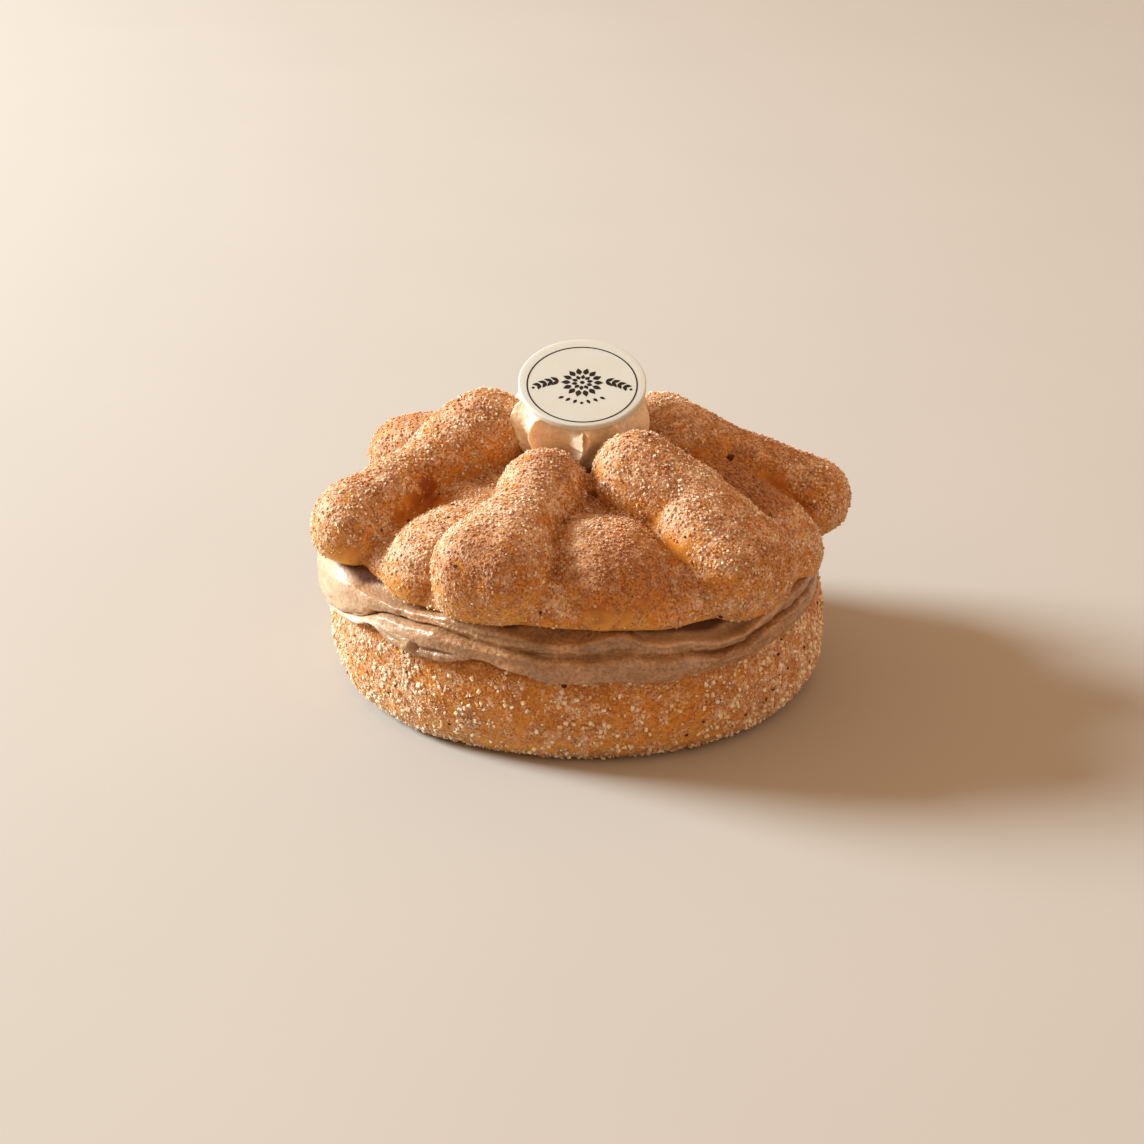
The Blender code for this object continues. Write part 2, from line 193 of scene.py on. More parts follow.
# Where the sugar coat is browner: bearing, distance, height and reach in mm,
# and how much browner
BROWNED_PATCHES = {
    "left arm's crown": (198, 52, 53, 12, 0.4),
    "left arm's inner end": (180, 27, 66, 10, 0.4),
    "front left knob's face": (250, 60, 47, 13, 1),
    "front left inner knob": (257, 25, 61, 10, 0.7),
    "front lobe": (283, 54, 45, 18, 1),
    "front right inner knob": (306, 28, 64, 9, 0.4),
    "front right knob's face": (318, 60, 45, 14, 0.4),
    "right lobe": (341, 40, 52, 16, 1.9),
    "right arm": (6, 45, 55, 18, 0.5),
    "back lobe": (105, 48, 46, 18, 0.6),
    "back left arm": (145, 46, 54, 18, 0.9),
}

# The rosette: bearings of its ridges, and its radius at each height in mm
RIDGES = (18, 56, 94, 129, 163, 196, 228, 275, 304, 345)
ROSETTE_PROFILE = (
    (49, 9), (53, 12), (57, 14.2), (61, 16.1), (64.5, 16.4), (67.5, 15.2), (71, 13), (76, 10.4), (80, 7),
)

# Burnt sugar and cinnamon flakes that stand out: bearing, distance, height and width in mm
UPPER_FLAKES = (
    (354.9, 35.6, 55, 1.7), (353.4, 36.4, 55, 1.2), (356.4, 36, 54.8, 1), (189.4, 34, 61.8, 0.8),
    (221, 38, 50, 1.1), (211.7, 52.7, 44.6, 0.8), (212.8, 46.4, 46.2, 0.9), (205.6, 36, 49.3, 0.7),
    (227.4, 43.4, 49.6, 0.8), (177.6, 28.8, 66.5, 1), (244.3, 61.1, 47.4, 0.9), (262.2, 56.9, 37.1, 0.8),
    (297.5, 23.6, 65.9, 0.9), (308.7, 25.4, 66.1, 0.9), (353, 48.7, 47.3, 0.8), (301.1, 48.2, 49.5, 0.7),
    (295.2, 42.8, 49.4, 0.7), (322.2, 60.7, 46.7, 0.7), (304.9, 57.2, 33.8, 1.2), (311, 57.4, 33.2, 1.2),
    (197, 58, 53.5, 0.9), (160, 50, 52, 0.9), (120, 45, 50, 1), (60, 40, 52, 1), (100, 55, 42, 0.8),
    (25, 50, 44, 1),
)
LOWER_FLAKES = (
    (322.1, 59.6, 19.2, 0.8), (326, 59.9, 14.5, 0.9), (320.4, 59.8, 11, 1), (312, 59.1, 7, 0.8),
    (318.4, 59.5, 9.1, 0.9), (303.7, 59.9, 13, 0.7), (323.9, 59, 22.2, 0.8), (339.4, 59.5, 10.5, 0.8),
    (322.8, 59.9, 13.7, 0.6), (314.2, 58.4, 4.5, 0.8), (224.4, 59.8, 9.1, 0.9), (226.4, 60.1, 12.6, 0.7),
    (223.7, 59.9, 9.6, 0.7), (229.6, 59.8, 17.1, 0.7), (205.8, 60.1, 12.3, 0.6), (212.2, 60, 9.7, 0.6),
    (241.2, 59, 6.8, 0.8), (247.3, 59.1, 8, 0.6), (299.7, 59.9, 9, 0.8), (303.9, 59.9, 13.4, 0.7),
    (296, 59.1, 5.9, 0.9), (334, 59.8, 16.4, 0.8), (267.9, 59.1, 20.5, 1.3), (348.3, 58.9, 21.8, 0.9),
    (30, 60, 12, 0.9), (75, 60, 16, 0.8), (110, 60, 8, 0.9), (150, 60, 14, 0.8),
)

# Grains on each half: its slot and a shift of the seed, then for each kind the width and the
# spacing as shares of those set in the sidebar, how dense it lies, and its range of tints. The
# arms keep less of the coarse sugar than the side of the lower half.
UPPER_TINTS, LOWER_TINTS = (0.1, 0.95), (0.0, 1.1)
STREWN_SUGAR = (
    ("upper_half", "upper_crust", 0, (("fine_sugar", 1.0, 0.825, 2.2, UPPER_TINTS),
                                      ("table_sugar", 1.0, 1.0, 1.4, UPPER_TINTS),
                                      ("coarse_sugar", 0.76, 1.914, 1.9, UPPER_TINTS))),
    ("lower_half", "lower_crust", 50, (("fine_sugar", 1.0, 0.66, 2.2, LOWER_TINTS),
                                       ("table_sugar", 1.0, 1.0, 1.4, LOWER_TINTS),
                                       ("coarse_sugar", 1.0, 1.45, 1.9, (0.3, 1.2)))),
)
THINNEST_SUGAR = 0.18
MOST_TRIANGLES = 199_000

# Lamps: place and width in metres, power in watts, colour. The room's own light, and its strength.
# The camera: pitch, yaw and roll in degrees, and place in mm.
LAMPS = {
    "key": ((-1.878, 0.5025, 0.951), 0.81, 115.0, (0.85, 0.955, 1.0)),
    "fill": ((1.0, -0.55, 0.12), 0.4, 1.5, (1.0, 0.86, 0.76)),
}
ROOM = (1.0, 0.62, 0.36, 1.0), 0.75
CAMERA_TURN = (22.615, -0.685, 0.835)
CAMERA_PLACE = (5.737, -602.26, 274.47)


def length(name, description, size, least=0.0):
    """A length in mm that can be set in the sidebar."""
    return FloatProperty(name=name, description=description, default=size * MM, min=least * MM,
                         unit="LENGTH")


class RollSizes(PropertyGroup):
    """Sizes of the bread and its filling."""

    roll_radius: length("Roll radius", "Half the width of the lower half at its widest", 60.0, 20.0)
    base_height: length("Lower half", "Height of the lower half, from its foot to the slice", 24.0, 5.0)
    filling_height: length("Filling", "Height of the cream between the halves", 11.0, 3.0)
    dome_height: length("Dome", "Height of the upper half under its arms", 18.0, 5.0)
    slice_lean: FloatProperty(
        name="Slice lean", description="How much the slice falls to the right, as a share", default=0.04)
    gap: length("Gap", "Clearance between bread and cream", 0.3)
    dough_voxel: length("Dough detail", "Voxel size at which the dough is fused", 0.7, 0.3)


class ToppingSizes(PropertyGroup):
    """Sizes of the disc, its print and the rosette."""

    disc_radius: length("Disc radius", "Half the width of the chocolate disc", 15.0, 5.0)
    disc_thickness: length("Disc thickness", "Thickness of the chocolate disc", 1.6, 0.5)
    disc_tilt: FloatProperty(
        name="Disc tilt", description="How far the disc leans towards the front",
        default=math.radians(24), unit="ROTATION")
    disc_centre: FloatVectorProperty(
        name="Disc centre", description="Middle of the disc", default=(0.3 * MM, -2.0 * MM, 72.0 * MM),
        subtype="TRANSLATION", unit="LENGTH")
    ring_radius: length("Printed ring", "Radius of the thin printed ring", 12.85, 2.0)
    flute_depth: FloatProperty(
        name="Flute depth", description="Depth of the widest flute, as a share of the radius", default=0.2)
    twist: FloatProperty(
        name="Twist", description="How far the ridges turn on their way up",
        default=math.radians(10), unit="ROTATION")


class SugarSizes(PropertyGroup):
    """Sizes and spacing of what is strewn over the crust."""

    fine: length("Fine sugar", "Width of a fine crystal", 0.40)
    grain: length("Table sugar", "Width of an ordinary crystal", 0.52)
    coarse: length("Coarse sugar", "Width of a large crystal", 0.92)
    spacing: length("Spacing", "Least distance between two ordinary crystals", 0.74, 0.3)
    seed: IntProperty(name="Seed", description="Changes where the grains fall", default=3)


def tone(name, description, hex_colour):
    """A colour that can be set in the sidebar."""
    return FloatVectorProperty(name=name, description=description, subtype="COLOR", size=4,
                               min=0.0, max=1.0, default=linear(hex_colour))


class FoodColours(PropertyGroup):
    """Colours of the bread, cream, chocolate and stage."""

    golden: tone("Golden crust", "Lightly baked crust", "#C67C25")
    browned: tone("Browned crust", "Deeply baked crust", "#8A4510")
    # Painted shade: crust deep in a fold is darkened to this colour
    crease_shade: tone("Crease", "Crust deep in a fold", "#A2550C")
    sugar_light: tone("Sugar coat, light", "Sugar with little cinnamon", "#EBC9A8")
    sugar_tan: tone("Sugar coat, tan", "Sugar with some cinnamon", "#BC8B66")
    sugar_brown: tone("Sugar coat, brown", "Damp cinnamon sugar", "#86502F")
    crystal_light: tone("Crystal, light", "A clean sugar crystal", "#F8E2C8")
    crystal_amber: tone("Crystal, amber", "A crystal that lets the crust through", "#B5825A")
    cinnamon: tone("Cinnamon", "Burnt sugar and cinnamon flakes", "#592B17")
    cream: tone("Filling", "Mocha cream of the filling", "#C2966D")
    cream_deep: tone("Filling, deep", "Cream where cocoa gathers", "#93704C")
    rosette: tone("Rosette", "Lighter cream of the rosette", "#FBE8CC")
    chocolate: tone("White chocolate", "Ivory of the disc", "#CCD0CA")
    ink: tone("Ink", "Cocoa ink of the print", "#1C1611")
    floor: tone("Floor", "Plain pale floor", "#B3AEA6")


def polar(bearing, distance, height):
    """A point at a bearing in degrees round the roll's axis."""
    angle = math.radians(bearing)
    return Vector((distance * math.cos(angle), distance * math.sin(angle), height))


def bearing_of(point):
    return math.degrees(math.atan2(point.y, point.x)) % 360.0


def smooth(share):
    """Eases a share of the way from 0 to 1."""
    share = min(1.0, max(0.0, share))
    return share * share * (3.0 - 2.0 * share)


def hermite(before, start, end, after, share):
    """A smooth value between start and end that heads on from before and to after."""
    out = 0.5 * (end - before)
    arrive = 0.5 * (after - start)
    square = share * share
    cube = square * share
    return ((2 * cube - 3 * square + 1) * start + (cube - 2 * square + share) * out
            + (3 * square - 2 * cube) * end + (cube - square) * arrive)


def round_the_roll(track, bearing):
    """A track's value at a bearing, smooth through its stations and closed round the roll."""
    count = len(track)
    bearings = [station[0] for station in track]
    at = next((i for i in range(count) if bearings[i] > bearing), count) - 1
    start, end = track[at], track[(at + 1) % count]
    width = (end[0] - start[0]) % 360 or 360
    share = ((bearing - start[0]) % 360) / width
    return hermite(track[at - 1][1], start[1], end[1], track[(at + 2) % count][1], share)


def down_the_wall(points, share):
    """A point on the smooth line through the points, from the first at 0 to the last at 1."""
    at = min(int(share * (len(points) - 1)), len(points) - 2)
    start, end = points[at], points[at + 1]
    before = points[max(at - 1, 0)]
    after = points[min(at + 2, len(points) - 1)]
    step = share * (len(points) - 1) - at
    return tuple(hermite(before[k], start[k], end[k], after[k], step) for k in range(len(start)))


def ripple(point, length, amount):
    """Smooth noise of a given wavelength and height."""
    return amount * noise.noise(point / length)

def near(bearing, middle, reach, level=1.0):
    """Eases from 1 at a bearing down to 0 a reach away; a level above 1 widens the middle."""
    return smooth(level - abs(bearing - middle) / reach)


def as_mesh(bm, name):
    """Hands a finished bmesh over as a smooth-shaded mesh."""
    mesh = bpy.data.meshes.new(name)
    bm.to_mesh(mesh)
    bm.free()
    mesh.shade_smooth()
    return mesh


def add_piece(name, mesh, material, slot, stands_for=None):
    """Adds a piece of the object, which rides on the one body."""
    piece = bpy.data.objects.new(name, mesh)
    bpy.context.scene.collection.objects.link(piece)
    mesh.materials.clear()
    mesh.materials.append(material)
    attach(piece, "root")
    if stands_for is not None:
        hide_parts(stands_for)


def frozen(mesh, **modifiers):
    """The mesh after the named modifiers, each given as kind and settings."""
    holder = bpy.data.objects.new("work", mesh)
    bpy.context.scene.collection.objects.link(holder)
    for name, (kind, settings) in modifiers.items():
        modifier = holder.modifiers.new(name, kind)
        for key, value in settings.items():
            setattr(modifier, key, value)
    bpy.context.view_layer.update()
    made = bpy.data.meshes.new_from_object(holder.evaluated_get(bpy.context.evaluated_depsgraph_get()))
    bpy.data.objects.remove(holder)
    return made


def turned(outline, steps):
    """A closed bmesh turned round the axis from an outline that runs from axis to axis."""
    bm = bmesh.new()
    vertices = [bm.verts.new((radius, 0.0, height)) for radius, height in outline]
    edges = [bm.edges.new(pair) for pair in zip(vertices, vertices[1:])]
    bmesh.ops.spin(bm, geom=vertices + edges, cent=(0, 0, 0), axis=(0, 0, 1), angle=math.tau,
                   steps=steps, use_merge=True)
    bmesh.ops.remove_doubles(bm, verts=bm.verts, dist=0.001 * MM)
    bmesh.ops.recalc_face_normals(bm, faces=bm.faces)
    return bm


def cut_flat(bm, point, normal, **side):
    """Cuts a bmesh at a plane, clears one side of it and closes the cut."""
    made = bmesh.ops.bisect_plane(bm, geom=bm.verts[:] + bm.edges[:] + bm.faces[:],
                                  plane_co=point, plane_no=normal, **side)
    rim = [item for item in made["geom_cut"] if isinstance(item, bmesh.types.BMEdge)]
    bmesh.ops.holes_fill(bm, edges=rim)


def give_values(mesh, name, values):
    """Stores one number for each vertex, for the materials to read."""
    attribute = mesh.attributes.new(name, "FLOAT", "POINT")
    attribute.data.foreach_set("value", np.asarray(values, np.float32))


def rows_of(items, key):
    """Three numbers from each item, such as a vertex's place, as rows."""
    rows = np.zeros(len(items) * 3, np.float32)
    items.foreach_get(key, rows)
    return rows.reshape(-1, 3)


def hollowness(mesh, reach):
    """How far each vertex lies below the smoothed surface, in mm: above 0 in folds and creases."""
    softened = frozen(mesh.copy(), soften=("SMOOTH", {"factor": 0.5, "iterations": reach}))
    sunk = rows_of(softened.vertices, "co") - rows_of(mesh.vertices, "co")
    return (sunk * rows_of(mesh.vertex_normals, "vector")).sum(axis=1) / MM


def nearness(places, patch):
    """How near each place is to a patch's middle: 1 there, 0 at its reach and less beyond it."""
    bearing, distance, height, reach, _ = patch
    away = np.linalg.norm(places - np.array(polar(bearing, distance * MM, height * MM)), axis=1)
    return 1.0 - away / (reach * MM)


def sugar_cover(mesh, rule, patches=(), top_lip=None):
    """Stores how thick the sugar lies at each vertex, from 0 on bare crust to 1, and what else the
    crust's material reads: its hollows, which it darkens as painted shade, its browner sugar and the
    faces turned down, which it paints paler, partly as painted bounce light."""
    places, normals = rows_of(mesh.vertices, "co"), rows_of(mesh.vertex_normals, "vector")
    hollow = sum(weight * hollowness(mesh, reach) for weight, reach in ((0.9, 4), (0.5, 12), (0.35, 60)))
    cover = np.array([rule(Vector(place), Vector(normal)) for place, normal in zip(places, normals)])
    cover -= 0.5 * np.clip(hollow, 0.0, 0.6)
    for patch in patches:
        share = np.clip(nearness(places, patch), 0.0, 1.0)
        cover -= 0.65 * patch[4] * share * share * (3.0 - 2.0 * share)
    brown = np.zeros(len(places))
    for patch in BROWNED_PATCHES.values():
        brown = np.maximum(brown, patch[4] * np.clip(1.4 * nearness(places, patch), 0.0, 1.0))
    if top_lip is not None:
        cover *= top_lip(places)
    give_values(mesh, "brown", brown)
    # Painted bounce light, partly real: crust that faces down is marked for a paler gold
    give_values(mesh, "under", np.clip(0.08 - 1.8 * normals[:, 2], 0.0, 1.0))
    give_values(mesh, "sugar", np.clip(cover, 0.0, 1.0))
    give_values(mesh, "hollow", np.clip(hollow, 0.0, 1.5))


# The kinds of node used most, and a mix node's settings for colours
NOISE, RANGE, MIX, MATH = "ShaderNodeTexNoise", "ShaderNodeMapRange", "ShaderNodeMix", "ShaderNodeMath"
CELLS, SPLIT, BUMP = "ShaderNodeTexVoronoi", "ShaderNodeSeparateColor", "ShaderNodeBump"
VALUE, PLACE = "ShaderNodeAttribute", "ShaderNodeTexCoord"
COLOURS = {"out": 2, "data_type": "RGBA"}


def add_node(tree, kind, inputs=None, out=0, **settings):
    """Adds a node with its settings, gives or links its inputs and returns one of its outputs."""
    made = tree.nodes.new(kind)
    for key, value in settings.items():
        setattr(made, key, value)
    for key, value in (inputs or {}).items():
        if isinstance(value, bpy.types.NodeSocket):
            tree.links.new(value, made.inputs[key])
        else:
            made.inputs[key].default_value = value
    return made.outputs[out] if len(made.outputs) else None


def new_material(name, **inputs):
    """A Principled material with the given inputs set, and what adds a node to it."""
    material = bpy.data.materials.new(name)
    material.use_nodes = True
    for key, value in inputs.items():
        material.node_tree.nodes["Principled BSDF"].inputs[key.replace("_", " ")].default_value = value
    return material, functools.partial(add_node, material.node_tree)


def wired(material, **sockets):
    """The material with its shader's named inputs linked from sockets."""
    shader = material.node_tree.nodes["Principled BSDF"]
    for key, socket in sockets.items():
        material.node_tree.links.new(socket, shader.inputs[key.replace("_", " ")])
    return material


def sugared_crust(name, colours):
    """Egg-washed sweet bread crust, brushed with butter and rolled in cinnamon sugar: satin gold in
    the folds, and a rough, pinkish, glittering coat where the sugar clings."""
    material, node = new_material(
        name, Subsurface_Weight=0.2, IOR=1.4, Specular_IOR_Level=0.3,
        Subsurface_Radius=(1.0, 0.4, 0.15), Subsurface_Scale=2.5 * MM)
    place = node(PLACE, out="Object")
    sugar, hollow, brown, under = (node(VALUE, out="Fac", attribute_name=key)
                                   for key in ("sugar", "hollow", "brown", "under"))

    # Browning comes and goes over 12 mm, folds are painted darker as shade, and down-facing crust is paler,
    # partly from baking and partly as painted bounce light
    baked = node(NOISE, {"Vector": place, "Scale": 1000 / 12.0, "Detail": 3.0, "Roughness": 0.6})
    baked = node(RANGE, {"Value": baked, "From Min": 0.36, "From Max": 0.66})
    crease_shade = node(RANGE, {"Value": hollow, "From Min": 0.3, "From Max": 1.2})
    # Painted bounce light, partly real: crust that faces down is mixed towards a paler gold
    under = node(MATH, {0: under, 1: 0.9}, operation="MULTIPLY")
    crust = colours.golden
    for share, top in ((baked, colours.browned), (crease_shade, colours.crease_shade), (under, linear("#F0B45A"))):
        crust = node(MIX, {0: share, 6: crust, 7: top}, **COLOURS)

    # The coat's own crystals are 0.45 mm cells, each of its own tint, in 4 mm drifts of cinnamon
    cells = node(CELLS, {"Vector": place, "Scale": 1000 / 0.45}, "Color")
    tint, chance = (node(SPLIT, {"Color": cells}, part) for part in ("Red", "Green"))
    drift = node(NOISE, {"Vector": place, "Scale": 1000 / 4.0, "Detail": 3.0})
    browner = node(MATH, {0: brown, 1: 0.22, 2: drift}, operation="MULTIPLY_ADD")
    cinnamon = node(RANGE, {"Value": browner, "From Min": 0.42, "From Max": 0.68})
    clean = node(MIX, {0: tint, 6: colours.sugar_tan, 7: colours.sugar_light}, **COLOURS)
    damp = node(MIX, {0: tint, 6: colours.sugar_brown, 7: colours.sugar_tan}, **COLOURS)
    coat = node(MIX, {0: cinnamon, 6: clean, 7: damp}, **COLOURS)
    thin = node(RANGE, {"Value": sugar, "From Min": 0.6, "From Max": 0.15, "To Max": 0.5})
    coat = node(MIX, {0: thin, 6: coat, 7: colours.golden}, **COLOURS)

    # Sugar melted into the glaze leaves the crust grainy, except in the deepest pockets
    grainy = node(RANGE, {"Value": sugar, "From Min": 0.02, "From Max": 0.25})
    melted = node(MIX, {0: tint, 6: linear("#783808"), 7: linear("#DFA04C")}, **COLOURS)
    share = node(MATH, {0: grainy, 1: 0.55}, operation="MULTIPLY")
    crust = node(MIX, {0: share, 6: crust, 7: melted}, **COLOURS)

    # Grain by grain and in 1.9 mm clumps, the coat gives way to bare crust
    level = node(MATH, {0: sugar, 1: chance}, operation="SUBTRACT")
    clumps = node(NOISE, {"Vector": place, "Scale": 1000 / 1.9, "Detail": 2.0})
    level = node(MATH, {0: clumps, 1: 1.6, 2: level}, operation="MULTIPLY_ADD")
    level = node(MATH, {0: level, 1: 0.8}, operation="SUBTRACT")
    cover = node(RANGE, {"Value": level, "From Min": -0.16, "From Max": 0.16},
                 interpolation_type="SMOOTHSTEP")
    colour = node(MIX, {0: cover, 6: crust, 7: coat}, **COLOURS)
    gloss = node(RANGE, {"Value": cover, "To Min": 0.36, "To Max": 0.72})

    # Crystals stand 0.13 mm proud, and the bare crust is puckered at 1.6 mm
    proud = node(RANGE, {"Value": cover, "To Min": 0.5})
    proud = node(MATH, {0: proud, 1: grainy}, operation="MULTIPLY")
    crystal = node(MATH, {0: cells.node.outputs["Distance"], 1: proud}, operation="MULTIPLY")
    pucker = node(NOISE, {"Vector": place, "Scale": 1000 / 1.6, "Detail": 3.0})
    relief = node(BUMP, {"Height": pucker, "Distance": 0.12 * MM, "Strength": 0.6})
    relief = node(BUMP, {"Height": crystal, "Distance": 0.13 * MM, "Strength": 1.0, "Normal": relief},
                  invert=True)
    return wired(material, Base_Color=colour, Roughness=gloss, Normal=relief)


def whipped_cream(name, light, deep, milled, sheen):
    """Cream whipped with chocolate and cinnamon, spread with a palette knife: a soft sheen, faint
    streaks along the stroke and fine dark flecks."""
    material, node = new_material(
        name, Subsurface_Weight=0.25, IOR=1.42, Specular_IOR_Level=sheen,
        Subsurface_Radius=(1.0, 0.6, 0.35), Subsurface_Scale=3.0 * MM)
    place = node(PLACE, out="Object")
    pale, recess_shade = (node(VALUE, out="Fac", attribute_name=key) for key in ("pale", "recess_shade"))

    # Cocoa swirls through it over 9 mm, and air and milled cinnamon mottle it at 0.9 mm
    swirl = node(NOISE, {"Vector": place, "Scale": 1000 / 9.0, "Detail": 3.0, "Distortion": 0.6})
    swirl = node(RANGE, {"Value": swirl, "From Min": 0.35, "From Max": 0.7})
    mottle = node(NOISE, {"Vector": place, "Scale": 1000 / 0.9, "Detail": 4.0, "Roughness": 0.7})
    mottle = node(RANGE, {"Value": mottle, "From Min": 0.4, "From Max": 0.64, "To Max": 0.7})

    # Flecks of up to 0.3 mm, one to each 1.3 mm cell, and only in two cells of five
    cells = node(CELLS, {"Vector": place, "Scale": 1000 / 1.3}, "Color")
    chance = node(SPLIT, {"Color": cells}, "Green")
    size = node(RANGE, {"Value": chance, "From Min": 0.6, "To Max": 0.11})
    inside = node(MATH, {0: size, 1: cells.node.outputs["Distance"]}, operation="SUBTRACT")
    fleck = node(RANGE, {"Value": inside, "From Max": 0.03, "To Max": 0.75})

    # Painted light makes it paler on its lit left side and along two lit ridges, and painted shade darkens
    # it deep under the bread
    cream = light
    for share, top in ((swirl, deep), (mottle, milled), (pale, linear("#E2C3A2")),
                       (recess_shade, linear("#542907")), (fleck, linear("#4A2C1A"))):
        cream = node(MIX, {0: share, 6: cream, 7: top}, **COLOURS)
    dull = node(RANGE, {"Value": recess_shade, "To Min": 0.62 - 0.3 * sheen, "To Max": 0.9})

    # Streaks lie along the stroke, so the pattern is squeezed in height
    squeezed = node("ShaderNodeMapping", {"Vector": place, "Scale": (1.0, 1.0, 5.0)})
    streaks = node(NOISE, {"Vector": squeezed, "Scale": 1000 / 5.0, "Detail": 4.0, "Roughness": 0.55})
    air = node(NOISE, {"Vector": place, "Scale": 1000 / 0.8, "Detail": 3.0})
    relief = node(BUMP, {"Height": streaks, "Distance": 0.35 * MM, "Strength": 0.5})
    relief = node(BUMP, {"Height": air, "Distance": 0.3 * MM, "Strength": 0.8, "Normal": relief})
    return wired(material, Base_Color=cream, Roughness=dull, Normal=relief)


def white_chocolate(name, ivory):
    """Cast white chocolate: dense ivory with a soft sheen and faint milky clouds."""
    material, node = new_material(
        name, Roughness=0.38, Subsurface_Weight=0.25, IOR=1.46,
        Subsurface_Radius=(1.0, 0.85, 0.6), Subsurface_Scale=1.5 * MM)
    place = node(PLACE, out="Object")
    clouds = node(NOISE, {"Vector": place, "Scale": 1000 / 7.0, "Detail": 4.0})
    share = node(RANGE, {"Value": clouds, "From Min": 0.4, "From Max": 0.7, "To Max": 0.35})
    colour = node(MIX, {0: share, 6: ivory, 7: linear("#CDC8B6")}, **COLOURS)
    skin = node(NOISE, {"Vector": place, "Scale": 1000 / 1.2, "Detail": 2.0})
    relief = node(BUMP, {"Height": skin, "Distance": 0.03 * MM, "Strength": 0.3})
    return wired(material, Base_Color=colour, Normal=relief)


def cocoa_ink(name, ink):
    """Edible cocoa ink, printed thin: matt, with the ivory just showing through in places."""
    material, node = new_material(name, Roughness=0.7, Specular_IOR_Level=0.2)
    wear = node(NOISE, {"Vector": node(PLACE, out="Object"), "Scale": 1000 / 0.5, "Detail": 2.0})
    share = node(RANGE, {"Value": wear, "From Min": 0.5, "From Max": 0.8, "To Max": 0.15})
    return wired(material, Base_Color=node(MIX, {0: share, 6: ink, 7: linear("#8A775F")}, **COLOURS))


def sugar_crystal(name, light, amber):
    """Cane sugar crystals damp with butter: small glassy blocks, some clean and some the colour of
    the crust that shows through them."""
    material, node = new_material(
        name, Roughness=0.5, Subsurface_Weight=0.9, IOR=1.45, Specular_IOR_Level=0.14,
        Subsurface_Radius=(1.0, 0.6, 0.4), Subsurface_Scale=0.8 * MM)
    tint, brown, sugar = (node(VALUE, out="Fac", attribute_name=key) for key in ("tint", "brown", "sugar"))

    # Clean and amber crystals lie in 3 mm drifts, with fewer clean ones where the sugar is browned
    drift = node(NOISE, {"Vector": node(PLACE, out="Object"), "Scale": 1000 / 3.0, "Detail": 2.0})
    level = node(MATH, {0: tint, 1: drift}, operation="ADD")
    level = node(MATH, {0: brown, 1: -0.45, 2: level}, operation="MULTIPLY_ADD")
    share = node(RANGE, {"Value": level, "From Min": 0.75, "From Max": 1.6})
    colour = node(MIX, {0: share, 6: amber, 7: light}, **COLOURS)

    # Lone crystals on bare crust take its gold, and those in browned sugar its brown
    thin = node(RANGE, {"Value": sugar, "From Min": 0.6, "From Max": 0.2, "To Max": 0.65})
    gilded = node(MIX, {0: share, 6: linear("#B46E22"), 7: linear("#F7D7A0")}, **COLOURS)
    colour = node(MIX, {0: thin, 6: colour, 7: gilded}, **COLOURS)
    stained = node(MATH, {0: brown, 1: 0.32}, operation="MULTIPLY")
    return wired(material, Base_Color=node(MIX, {0: stained, 6: colour, 7: linear("#7E4C2C")}, **COLOURS))


def burnt_flake(name, brown):
    """Cinnamon bark and burnt sugar: dark, dull flakes with a little variation from flake to flake."""
    material, node = new_material(name, Roughness=0.75, Specular_IOR_Level=0.2)
    tint = node(VALUE, out="Fac", attribute_name="tint")
    return wired(material, Base_Color=node(MIX, {0: tint, 6: brown, 7: linear("#6E3A1C")}, **COLOURS))


def painted_floor(name, colour):
    """Matt painted board, pale and almost even, with a faint mottle 90 mm across."""
    material, node = new_material(name, Roughness=0.9)
    mottle = node(NOISE, {"Vector": node(PLACE, out="Object"), "Scale": 1000 / 90.0, "Detail": 2.0})
    share = node(RANGE, {"Value": mottle, "From Min": 0.3, "From Max": 0.7, "To Max": 0.3})
    deeper = (*(0.94 * part for part in colour[:3]), 1.0)
    return wired(material, Base_Color=node(MIX, {0: share, 6: colour, 7: deeper}, **COLOURS))


